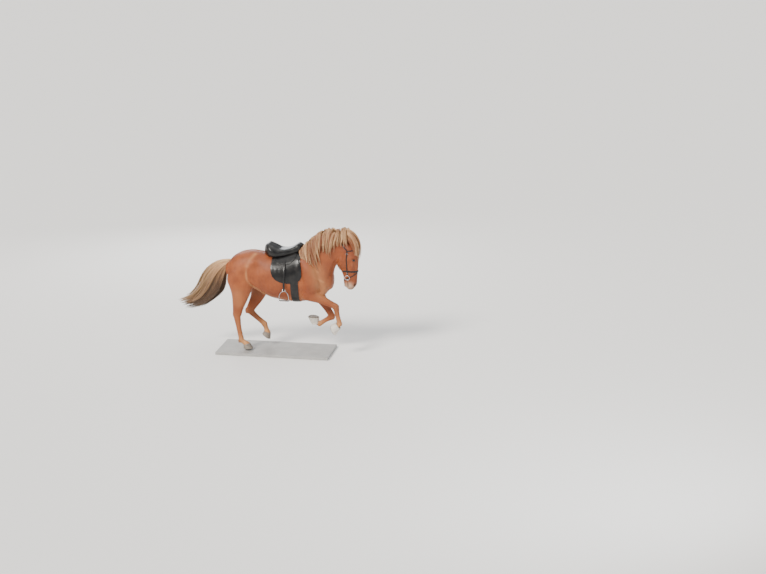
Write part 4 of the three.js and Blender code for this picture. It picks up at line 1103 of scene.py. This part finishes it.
for side, name in SIDES:
    cup = bmesh.new()
    grid, hairs = [], []
    for v in np.linspace(0, 1, 25):
        x, y, z, radius = between(EAR, v * 6)
        row = []
        for u in np.linspace(-1, 1, 25):
            angle = math.radians(152) * u * (1 - 0.22 * v)
            c, s = math.cos(angle), math.sin(angle)
            way = Vector((-0.62 * c - 0.3 * s, side * (-0.25 * c + 0.95 * s), -0.12 * c))
            spot = Vector((x, side * y, z)) + way * radius * (1 + 0.12 * abs(u) ** 3)
            row.append(cup.verts.new(metres(*spot)))
        grid.append(row)
        for edge, towards in ((3, 6), (21, 18)) if 0.1 < v < 0.85 else ():
            for _ in range(int(14 * dense) + 1):
                start, end = row[edge].co, row[towards].co
                tip = start + (end - start) * rng.uniform(0.8, 1.5)
                tip += Vector((0.014, side * 0.006, 0.012)) * rng.uniform(0.4, 1.3)
                line = []
                for t in (0, 0.3, 0.6, 0.85, 1):
                    line.append(start.lerp(tip, t) + Vector((0.006, 0, 0.003)) * math.sin(3 * t))
                hairs.append(short_strand(line, (0.7, 0, 0.7), 0.0016, 0.0008, (0.75, 0.1, 0, 1)))
    woven(cup, grid, rings=False)
    ear = modified(
        as_object(f"ear_{name}_skin", cup),
        ("SOLIDIFY", dict(thickness=0.0045, offset=0)), ("SMOOTH", dict(iterations=2)),
    )
    outward = bmesh.new()
    outward.from_mesh(ear.data)
    bmesh.ops.recalc_face_normals(outward, faces=outward.faces)
    outward.to_mesh(ear.data)
    outward.free()
    ear_co = read(ear.data.vertices, "co")
    tint = markings_and_painted_light(ear_co)
    tint[:, 1] = np.maximum(tint[:, 1], 0.5 * soft(ear_co[:, 2], 1.585 + GROUND, 1.61 + GROUND))
    paint(ear.data, "coat_marks_and_painted_light", tint)
    unwrap(ear.data)
    finished(ear, coat_material, "coat", f"ear_{name}")
    flaxen_hair(f"ear_{name}_hair", hairs)


# Eyes
# Glassy eyeballs deep in the lids: a dark brown iris with a level, long pupil and a wet surface,
# drawn from each vertex's place across the gaze; spheres at the middle of the sockets.
eye_material, tree, shader = finish_of("eye", (0.05, 0.02, 0.01), 0.12, Coat_Weight=0.4, Coat_Roughness=0.03)
gaze_color = node(tree, "ShaderNodeVertexColor", layer_name="gaze").outputs["Color"]
from_iris, from_pupil, _ = node(tree, "ShaderNodeSeparateColor", {"Color": gaze_color}).outputs
iris = mix(tree, streak(tree, (1, 1, 1), 500), (0.014, 0.006, 0.003), (0.045, 0.017, 0.007))
white = mix(tree, ranged(tree, from_iris, 0, 1, 0.62, 0.7), iris, (0.03, 0.017, 0.012))
color = mix(tree, ranged(tree, from_pupil, 0, 1, 0.3, 0.36), (0.002, 0.0018, 0.002), white)
wire(tree, shader, Base_Color=color)
for side, name in SIDES:
    middle, outward, ahead, above = eye_frame(side)
    ball = bmesh.new()
    bmesh.ops.create_uvsphere(ball, u_segments=64, v_segments=40, radius=EYE_RADIUS)
    gaze = []
    for vert in ball.verts:
        u, v = vert.co.dot(ahead), vert.co.dot(above)
        if vert.co.dot(outward) > 0:
            vert.co *= 1 + 0.05 * math.exp(-((math.hypot(u, v) / 0.011) ** 2))
            gaze.append((min(math.hypot(u, v) / 0.026, 1), min(math.hypot(u / 0.022, v / 0.0105), 1), 0, 1))
        else:
            gaze.append((1, 1, 0, 1))
    bmesh.ops.translate(ball, verts=ball.verts, vec=middle)
    eye_ball = as_object(f"eye_{name}_ball", ball)
    paint(eye_ball.data, "gaze", gaze)
    finished(eye_ball, eye_material, "eye", f"eye_{name}")


# Lids
# Upper and lower lid as one thin fold of skin round an almond opening, close on the eyeball and
# sunk into the face all round, with a crease over the upper one; under the coat's own material.
LID_ROUND = 72
LID_STEPS = {  # share of the way from the opening to the face, and how dark the skin is there
    -0.12: 1, 0.0: 1, 0.05: 1, 0.14: 0.9, 0.26: 0.6, 0.4: 0.4, 0.52: 0.55, 0.62: 0.2,
    0.74: 0, 0.88: 0, 1.0: 0,
}
for side, name in SIDES:
    middle, outward, ahead, above = eye_frame(side)
    fold = bmesh.new()
    rings, lashes = [], []
    for s in LID_STEPS:
        ring = []
        spread = max(s, 0)
        on_face = soft(spread, 0.3, 0.95)
        for a in np.linspace(0, 2 * math.pi, LID_ROUND, endpoint=False):
            upper = math.sin(a) > 0
            tall = (0.0122 if upper else 0.0088) + 0.0125 * spread
            u = math.cos(a) * (0.0182 + 0.0115 * spread)
            v = math.sin(a) * abs(math.sin(a)) ** 0.25 * tall - 0.1 * u * (1 - spread)
            flat = middle + ahead * u + above * v
            hit, _, _, _ = surface_tree.ray_cast(flat + outward * 0.08, -outward)
            face_height = (hit - middle).dot(outward) if hit else 0.0
            over_ball = math.sqrt(max((EYE_RADIUS + 0.0019) ** 2 - u * u - v * v, 0.0))
            rise = over_ball * (1 - on_face) + (face_height - 0.0014) * on_face
            rise += 0.0012 * math.sin(math.pi * min(spread / 0.3, 1))
            rise -= 0.0016 * math.exp(-(((spread - 0.52) / 0.07) ** 2)) * upper
            if s < 0:
                rise = math.sqrt(max((EYE_RADIUS - 0.001) ** 2 - u * u - v * v, 0.0))
            spot = flat + outward * rise
            ring.append(fold.verts.new(spot))
            for _ in range(3 if s == 0.0 and math.sin(a) > 0.2 else 0):
                reach = rng.uniform(0.008, 0.013)
                way = (outward + above * rng.uniform(0.1, 0.4) + ahead * rng.normal(0.1, 0.15)).normalized()
                line = [spot + way * reach * t + above * 0.003 * t * t for t in HAIR_BEND]
                lashes.append(short_strand(line, above, 0.0007, 0.0005, (0, 0.2, 0.9, 1)))
        rings.append(ring)
    woven(fold, rings)
    bmesh.ops.recalc_face_normals(fold, faces=fold.faces)
    if sum(f.normal.dot(outward) for f in fold.faces) < 0:
        bmesh.ops.reverse_faces(fold, faces=fold.faces)
    lid = as_object(f"lids_{name}", fold)
    tint = markings_and_painted_light(read(lid.data.vertices, "co"))
    tint[:, 1] = np.maximum(tint[:, 1], np.repeat(list(LID_STEPS.values()), LID_ROUND))
    paint(lid.data, "coat_marks_and_painted_light", tint)
    unwrap(lid.data)
    finished(lid, coat_material, "coat")
    flaxen_hair(f"lashes_{name}", lashes)


# Hooves
# Grey horn with growth rings and a paler band at the coronet, and a hollow sole with its frog;
# rings of the hoof's outline lofted and closed by a dished sole, set at the end of each pastern.
horn_material, tree, shader = finish_of("hoof horn", (0.2, 0.17, 0.145), 0.42)
grow = streak(tree, (0.3, 0.3, 1), 130, 0.35, 0.65)
fibre = streak(tree, (1, 1, 0.08), 420, 0.3, 0.7)
color = mix(tree, grow, (0.12, 0.1, 0.085), (0.25, 0.205, 0.165))
color = mix(tree, times(tree, fibre, 0.4), color, (0.36, 0.3, 0.235))
wire(tree, shader, Base_Color=color)
bump(tree, shader, times(tree, grow, fibre, "ADD"), 0.0008, 0.6)
# Rings from the ground up: height, middle, half length and half width, and rise of the front
HOOF = [
    (0, 5, 62, 57, 0), (4, 5, 63.5, 58.5, 0), (14, 2, 60.5, 55.5, 0), (30, -3, 55, 52, 2),
    (44, -10, 51, 49, 7), (54, -14, 48, 47, 12), (58, -15, 44, 44, 12), (62, -16, 34, 36, 12),
]


def set_on_leg(bm, leg):
    """Turns a foot part about the coronet's point and sets it at the end of the pastern."""
    turn = Matrix.Rotation(math.radians(-leg["pitch"]), 3, "Y")
    for vert in bm.verts:
        vert.co = turn @ (vert.co - Vector((-0.014, 0, 0.056))) + metres(*leg["coronet"])


def foot_ring(bm, row, sides, wave=0.0):
    height, middle, length, width, lift = row
    ring = []
    for k in range(sides):
        a = 2 * math.pi * k / sides
        ripple = 1 + wave * math.cos(a * sides / 3)
        x, y = middle + math.cos(a) * length * ripple, math.sin(a) * width * ripple
        ring.append(bm.verts.new((x / 1000, y / 1000, (height + math.cos(a) * lift) / 1000)))
    return ring


def sole_height(x, y, share):
    """Height of the sole in millimetres: a dish with the frog and its cleft."""
    frog = math.exp(-((y / max(4 + (24 - x) * 0.28, 4)) ** 4)) * (x < 26)
    cleft = math.exp(-((y / 3.5) ** 2)) * (x < -18)
    dish = 7.5 * math.sin(min((1 - share) * 2.6, 1) * math.pi / 2) if share < 0.93 else 0.3
    return dish * (1 - 0.85 * frog) + 3 * cleft * frog + 0.2


for pair, legs in (("fore", FORE), ("hind", HIND)):
    for name, leg in legs.items():
        hoof = bmesh.new()
        rings = [foot_ring(hoof, between(HOOF, p), 48) for p in np.linspace(0, 7, 29)]
        sole = []
        for share in (0.97, 0.9, 0.82, 0.7, 0.55, 0.4, 0.25, 0.1):
            ring = foot_ring(hoof, (0, 5, 62 * share, 57 * share, 0), 48)
            for vert in ring:
                vert.co.z = sole_height(vert.co.x * 1000, abs(vert.co.y) * 1000, share) / 1000
            sole.append(ring)
        woven(hoof, sole[::-1] + rings)
        hoof.faces.new(sole[-1])
        hoof.faces.new(rings[-1])
        bmesh.ops.recalc_face_normals(hoof, faces=hoof.faces)
        set_on_leg(hoof, leg)
        finished(as_object(f"hoof_{pair}_{name}_horn", hoof), horn_material, "horn", f"hoof_{pair}_{name}")


# Bell boots
# White ribbed rubber bells over both fore hooves, scuffed grey in patches; lofted from rings with
# ribs down them and a rolled collar, thickened, and turned with the hoof they hang on.
boot_material, tree, shader = finish_of("boot rubber", (0.78, 0.74, 0.67), 0.55)
scuffs = streak(tree, (1, 1, 1), 45, 0.42, 0.72)
grain = streak(tree, (1, 1, 1), 700, 0.3, 0.7)
color = mix(tree, times(tree, scuffs, 0.4), (0.66, 0.61, 0.54), (0.36, 0.31, 0.25))
wire(tree, shader, Base_Color=color)
bump(tree, shader, grain, 0.0004, 0.5)
BOOT = [
    (9, 4, 74, 70, 0), (13, 3.5, 74.5, 70.5, 0), (28, 0, 69, 66, 1), (44, -5, 63, 61, 3),
    (60, -11, 58.5, 56.5, 5), (76, -16, 54, 52, 8), (88, -20, 50, 48, 9), (95, -23, 50.5, 48.5, 10),
    (100, -24, 48, 46, 10),
]
for name, leg in FORE.items():
    boot = bmesh.new()
    rings = []
    for p in np.linspace(0, 8, 33):
        rings.append(foot_ring(boot, between(BOOT, p), 96, 0.014 if 0.8 < p < 6.6 else 0.0))
    woven(boot, rings)
    set_on_leg(boot, leg)
    wall = ("SOLIDIFY", dict(thickness=0.005, offset=-1))
    bell = modified(as_object(f"bell_boot_{name}_rubber", boot), wall)
    finished(bell, boot_material, "boot", f"bell_boot_{name}")


# Saddle and girth
# A black leather saddle: stuffed seat with a rolled cantle over panels, skirts and large flaps with
# knee swells, and a girth; draped over the skin by rays, thickened and rounded at the edges.
leather_material, tree, shader = finish_of(
    "black leather", (0.012, 0.011, 0.012), 0.34,
    Coat_Weight=0.1, Coat_Roughness=0.25, Specular_IOR_Level=0.35,
)
where = node(tree, "ShaderNodeTexCoord").outputs["Object"]
pores = node(tree, "ShaderNodeTexVoronoi", {"Vector": where, "Scale": 620.0}).outputs["Distance"]
creases = streak(tree, (1, 1, 1), 60, 0.45, 0.62)
worn = streak(tree, (1, 1, 1), 14, 0.45, 0.75)
color = mix(tree, worn, (0.004, 0.0038, 0.004), (0.016, 0.014, 0.013))
wire(tree, shader, Base_Color=color, Roughness=ranged(tree, creases, 0.3, 0.4))
bump(tree, shader, times(tree, pores, times(tree, creases, 0.5), "ADD"), 0.0002, 0.3)
# Edges of the leathers: share of the way down, and x
FLAP_REAR = [(0, -62), (0.42, -62), (0.6, -56), (0.75, -36), (0.88, 8), (0.96, 70), (1, 150)]
FLAP_FRONT = [(0, 308), (0.5, 338), (0.72, 336), (0.86, 318), (0.95, 284), (1, 240)]
SKIRT_REAR = [(0, -40), (0.6, -30), (0.9, 10), (1, 60)]
SKIRT_FRONT = [(0, 262), (0.5, 236), (0.9, 190), (1, 140)]
PANEL_REAR = [(0, -160), (0.3, -174), (0.6, -160), (0.85, -118), (1, -60)]
PANEL_FRONT = [(0, 300), (0.5, 310), (1, 250)]


def on_skin(x, z, side, lift):
    """The skin met from the side at x, z in millimetres, lifted off it."""
    hit, normal, _, _ = surface_tree.ray_cast(metres(x, side * 700, z), Vector((0, -side, 0)))
    if hit is None:
        hit, normal, _, _ = surface_tree.find_nearest(metres(x, side * 30, z))
    return hit + normal * lift / 1000


def sharp_edges(width, segments, degrees):
    """A bevel of the edges that turn by more than the degrees."""
    angle = math.radians(degrees)
    return "BEVEL", dict(width=width, segments=segments, limit_method="ANGLE", angle_limit=angle)


def panelled(name, grid, thickness):
    """A thick sheet with rounded edges from a grid of points."""
    bm = bmesh.new()
    woven(bm, [[bm.verts.new(p) for p in row] for row in grid], rings=False)
    thick = ("SOLIDIFY", dict(thickness=thickness, offset=1))
    return modified(as_object(name, bm), thick, sharp_edges(0.003, 3, 50))


def drape(name, side, rear, front, top, bottom, lift, thickness, swell):
    grid = []
    for v in np.linspace(0, 1, 41):
        z = top + (bottom - top) * v
        row = []
        for x in np.linspace(np.interp(v, *zip(*rear)), np.interp(v, *zip(*front)), 33):
            row.append(on_skin(x, z, side, lift + swell(x, z)))
        grid.append(row if side < 0 else row[::-1])
    return panelled(name, grid, thickness)


def no_swell(x, z):
    return 0


def knee_swell(x, z):
    return 7 * math.exp(-(((x - 292) / 26) ** 2 + ((z - 1150) / 90) ** 2))


def panel_swell(x, z):
    return 4 * math.exp(-(((z - 1296) / 22) ** 2))


for side, name in SIDES:
    flap = drape(f"saddle_flap_{name}_leather", side, FLAP_REAR, FLAP_FRONT, 1300, 956, 10, 0.006, knee_swell)
    finished(flap, leather_material, "leather", f"saddle_flap_{name}")
    skirt = drape(f"saddle_skirt_{name}", side, SKIRT_REAR, SKIRT_FRONT, 1306, 1190, 17, 0.005, no_swell)
    finished(skirt, leather_material, "leather")
    panel = drape(f"saddle_panel_{name}", side, PANEL_REAR, PANEL_FRONT, 1340, 1258, 2, 0.03, panel_swell)
    finished(panel, leather_material, "leather")

SEAT = [
    (300, 0, 1385, 0, 70, 52, 60), (262, 0, 1380, 0, 92, 64, 80), (190, 0, 1350, 0, 100, 48, 76),
    (110, 0, 1322, 0, 122, 54, 70),
    (20, 0, 1312, 0, 158, 62, 70), (-60, 0, 1322, 0, 172, 88, 80), (-120, 0, 1336, 0, 150, 100, 70),
    (-150, 0, 1340, 0, 110, 84, 60),
]
seat_mesh = bmesh.new()
SEAM = ([-150, -60, 110, 262, 300], [1378, 1350, 1330, 1392, 1400])  # x and height of the seat's seam
loft(seat_mesh, [(*row[:4], *[r + COAT_DEPTH for r in row[4:]]) for row in reversed(SEAT)], 64, 2.6, 8)
bmesh.ops.recalc_face_normals(seat_mesh, faces=seat_mesh.faces)
seat = modified(as_object("saddle_seat_leather", seat_mesh), sharp_edges(0.012, 4, 45))
seat_co = read(seat.data.vertices, "co")
seat_normals = read(seat.data.vertex_normals, "vector")
x, y, z = in_millimetres(seat_co).T
pressed = -3.5 * np.exp(-(((z - np.interp(x, *SEAM)) / 4) ** 2))
pressed += -2.5 * np.exp(-(((x + 104 - y * 0.25) / 4) ** 2)) * (z > 1350)
for cantle_layer in (1396, 1366, 1336):
    from_layer = z - cantle_layer + 0.3 * (x + 150)
    pressed += -3.5 * np.exp(-((from_layer / 4.5) ** 2)) * (x < 20) * (y > 55)
pressed += -9 * np.exp(-(((x - 60) / 90) ** 2 + (y / 80) ** 2)) * (z > 1330)
seat_co += seat_normals * pressed[:, None] / 1000
seat.data.vertices.foreach_set("co", seat_co.ravel())
finished(seat, leather_material, "leather", "saddle_seat")

GIRTH_X, GIRTH_HALF = 243, 48
girth = []
for v in np.linspace(-1, 1, 73):
    angle = math.radians(72) * v
    outward = Vector((0, math.sin(angle), -math.cos(angle)))
    row = []
    for u in np.linspace(1, -1, 9):
        start = metres(GIRTH_X + GIRTH_HALF * u, 0, 1090)
        hit, normal, _, _ = surface_tree.ray_cast(start + outward * 0.7, -outward)
        row.append(hit + normal * (0.0015 + 0.001 * (1 - u * u)))
    girth.append(row)
finished(panelled("saddle_girth_leather", girth, 0.006), leather_material, "leather", "saddle_girth")


# Bridle
# Black leather straps on the head, with a browband, noseband and flash, steel buckles and a
# loose-ring bit; straps of rounded section laid on the skin, the bit's rings hung on the cheeks.
steel_material, tree, shader = finish_of("bright steel", (0.55, 0.55, 0.56), 0.22, Metallic=1.0)
brushed = streak(tree, (1, 1, 0.2), 300)
color = mix(tree, brushed, (0.46, 0.46, 0.47), (0.64, 0.64, 0.65))
wire(tree, shader, Base_Color=color, Roughness=ranged(tree, brushed, 0.16, 0.32))
STRAP_SECTION = [  # shares of the width and of the thickness
    (-0.5, 0), (-0.5, 0.6), (-0.42, 1), (-0.15, 1.12), (0.15, 1.12), (0.42, 1), (0.5, 0.6), (0.5, 0),
]


def strap(bm, points, normals, width, thickness, closed=False):
    """Adds a strap of rounded section swept along points that lie under it."""
    rings = []
    last = len(points) - 1
    for k, (point, normal) in enumerate(zip(points, normals)):
        before = points[k - 1] if closed else points[max(k - 1, 0)]
        after = points[(k + 1) % len(points)] if closed else points[min(k + 1, last)]
        run = (after - before).normalized()
        aside = run.cross(normal).normalized()
        up = aside.cross(run).normalized()
        ring = [bm.verts.new(point + aside * a * width + up * b * thickness) for a, b in STRAP_SECTION]
        rings.append(ring)
    woven(bm, rings + rings[:1] if closed else rings)
    if not closed:
        bm.faces.new(rings[0])
        bm.faces.new(rings[-1])
    bmesh.ops.recalc_face_normals(bm, faces=bm.faces)


def eased(items, closed):
    """Each item drawn towards its neighbours; the ends of an open row stay."""
    drawn = [(items[k - 1] + item * 2 + items[(k + 1) % len(items)]) / 4 for k, item in enumerate(items)]
    return drawn if closed else [items[0], *drawn[1:-1], items[-1]]


def laid(line, lift, closed=False, count=60):
    """Points on the skin nearest to a coarse line, evened out, with their normals."""
    spots, normals = [], []
    for k in range(count):
        place = between(line, k / (count if closed else count - 1) * (len(line) - 1))
        hit, normal, _, _ = surface_tree.find_nearest(metres(*place))
        spots.append(hit + normal * lift / 1000)
        normals.append(normal)
    for _ in range(3):
        spots = eased(spots, closed)
        normals = [normal.normalized() for normal in eased(normals, closed)]
    return spots, normals


def hoop(bm, middle, first, second, wire_radius, square=2.0, sides=12, rounds=40):
    """Adds a ring of round wire in the plane of two vectors."""
    middle, first, second = Vector(middle), Vector(first), Vector(second)
    axis = first.cross(second).normalized()
    rings = []
    for k in range(rounds):
        c, s = math.cos(2 * math.pi * k / rounds), math.sin(2 * math.pi * k / rounds)
        arm = (first * c + second * s) * (abs(c) ** square + abs(s) ** square) ** (-1 / square)
        ring = []
        for b in np.linspace(0, 2 * math.pi, sides, endpoint=False):
            around = arm.normalized() * math.cos(b) + axis * math.sin(b)
            ring.append(bm.verts.new(middle + arm + around * wire_radius))
        rings.append(ring)
    woven(bm, rings + rings[:1])


CHEEK = [
    (806, 0, 1566), (812, 44, 1556), (826, 74, 1520), (850, 86, 1452), (876, 92, 1415), (906, 92, 1384),
    (908, 90, 1330), (905, 84, 1240), (902, 74, 1140), (902, 70, 1070), (905, 72, 1046),
]
BROW = [(914, -90, 1374), (970, -84, 1382), (1012, -56, 1388), (1030, 0, 1392)]
BROW += [(x, -y, z) for x, y, z in BROW[2::-1]]
circle = np.linspace(0, 2 * math.pi, 25)
NOSE = [(978 + 118 * math.cos(a), 74 * math.sin(a), 1098 - 6 * math.cos(a)) for a in circle]
FLASH = [(948 + 126 * math.cos(a), 64 * math.sin(a), 1027 + 68 * math.cos(a)) for a in circle]
headpiece, bit = bmesh.new(), bmesh.new()
for side in (-1, 1):
    spots, normals = laid([(x, side * y, z) for x, y, z in CHEEK], 1.5, count=90)
    strap(headpiece, spots, normals, 0.015, 0.0042)
    for k in (52, 80):
        run = (spots[k + 1] - spots[k - 1]).normalized()
        across = run.cross(normals[k])
        hoop(bit, spots[k] + normals[k] * 0.004, run * 0.011, across * 0.0105, 0.0014, 4.0)
finished(as_object("bridle_headpiece_leather", headpiece), leather_material, "leather", "bridle_headpiece")
for name, line, lift, closed, count, width, thickness in (
    ("browband", BROW, 2.0, False, 60, 0.014, 0.0042),
    ("noseband", NOSE, 1.5, True, 80, 0.021, 0.0048),
    ("flash", FLASH, 2.5, True, 80, 0.012, 0.004),
):
    band = bmesh.new()
    strap(band, *laid(line, lift, closed, count), width, thickness, closed)
    finished(as_object(f"bridle_{name}_leather", band), leather_material, "leather", f"bridle_{name}")
for side in (-1, 1):
    hoop(bit, metres(907, side * 78, 1020), (0.031, 0, 0), (0, side * 0.006, 0.031), 0.0038)
rod = dict(cap_ends=True, segments=20, radius1=0.007, radius2=0.007, depth=0.146)
bar = bmesh.ops.create_cone(bit, **rod)["verts"]
bmesh.ops.rotate(bit, verts=bar, cent=(0, 0, 0), matrix=Matrix.Rotation(math.radians(90), 3, "X"))
bmesh.ops.translate(bit, verts=bar, vec=metres(911, 0, 993))
bmesh.ops.recalc_face_normals(bit, faces=bit.faces)
finished(as_object("bridle_bit_steel", bit), steel_material, "steel", "bridle_bit")


# Stirrups
# Black leathers that leave the skirts and hang plumb, and polished steel irons with a rubber tread;
# the leathers are straps of rounded section, the irons an arch swept round with a bevelled tread.
STIRRUP_X, STIRRUP_Y, TREAD_Z = 118, 288, 732
ARCH_HALF, ARCH_HEIGHT, ARCH_Z = 63, 84, 776


def block(bm, size, middle, rounding, segments):
    """Adds a box with rounded edges."""
    made = bmesh.ops.create_cube(bm, size=1)["verts"]
    bmesh.ops.scale(bm, verts=made, vec=size)
    bmesh.ops.translate(bm, verts=made, vec=middle)
    edges = list({edge for vert in made for edge in vert.link_edges})
    bmesh.ops.bevel(
        bm, geom=edges, offset=rounding, segments=segments, affect="EDGES", profile=0.5, material=-1
    )


for side, name in SIDES:
    out = side * STIRRUP_Y
    spots = []
    for z in np.linspace(1272, 868, 60):
        on_flap = on_skin(STIRRUP_X, z, side, 24).y * 1000
        hang = float(np.clip((1010 - z) / 80, 0, 1))
        spots.append(metres(STIRRUP_X, on_flap + (out - on_flap) * hang, z))
    leather = bmesh.new()
    strap(leather, spots, [Vector((0, side, 0))] * 60, 0.026, 0.0065)
    hung = as_object(f"stirrup_leather_{name}_strap", leather)
    finished(hung, leather_material, "leather", f"stirrup_leather_{name}")
    iron = bmesh.new()
    path = [(54, 731), (54.5, 760)]
    for a in np.linspace(0.05, math.pi - 0.05, 25):
        path.append((STIRRUP_X - ARCH_HALF * math.cos(a), ARCH_Z + ARCH_HEIGHT * math.sin(a)))
    path += [(181.5, 760), (182, 731)]
    points = [metres(x, out, z) for x, z in path]
    rings = []
    for k, point in enumerate(points):
        run = (points[min(k + 1, len(points) - 1)] - points[max(k - 1, 0)]).normalized()
        aside = run.cross(Vector((0, 1, 0))).normalized() * 0.0045
        broad = Vector((0, 0.0065 + 0.006 * (1 - math.sin(math.pi * k / (len(points) - 1))), 0))
        ring = []
        for b in np.linspace(0, 2 * math.pi, 16, endpoint=False):
            ring.append(iron.verts.new(point + aside * math.cos(b) + broad * math.sin(b)))
        rings.append(ring)
    woven(iron, rings)
    iron.faces.new(rings[0])
    iron.faces.new(rings[-1])
    for size, x, z in (
        ((0.134, 0.042, 0.008), STIRRUP_X, TREAD_Z), ((0.044, 0.014, 0.007), STIRRUP_X, 880),
        ((0.008, 0.014, 0.022), 100, 872), ((0.008, 0.014, 0.022), 136, 872),
    ):
        block(iron, size, metres(x, out, z), 0.0025, 3)
    bmesh.ops.recalc_face_normals(iron, faces=iron.faces)
    finished(as_object(f"stirrup_iron_{name}_steel", iron), steel_material, "steel", f"stirrup_iron_{name}")
    tread = bmesh.new()
    for k in range(9):
        block(tread, (0.008, 0.036, 0.005), metres(70 + 12 * k, out, TREAD_Z + 5.5), 0.0012, 2)
    finished(as_object(f"stirrup_tread_{name}", tread), leather_material, "leather")


# Base
# A flat slab of grey stone with softened edges that carries the model on its standing hoof; the
# base's own box, bevelled.
base_material, tree, shader = finish_of("grey stone", (0.4, 0.39, 0.37), 0.6)
speckle = streak(tree, (1, 1, 1), 260, 0.35, 0.65)
cloud = streak(tree, (1, 1, 1), 7, 0.3, 0.7)
color = mix(tree, cloud, (0.27, 0.265, 0.255), (0.36, 0.35, 0.335))
color = mix(tree, times(tree, speckle, 0.45), color, (0.5, 0.49, 0.47))
wire(tree, shader, Base_Color=color)
bump(tree, shader, speckle, 0.0006, 0.4)
low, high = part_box("stand_base")
slab = bmesh.new()
block(slab, high - low, (low + high) / 2, 0.006, 4)
finished(as_object("stand_base_slab", slab), base_material, "base", "stand_base", smooth=False)
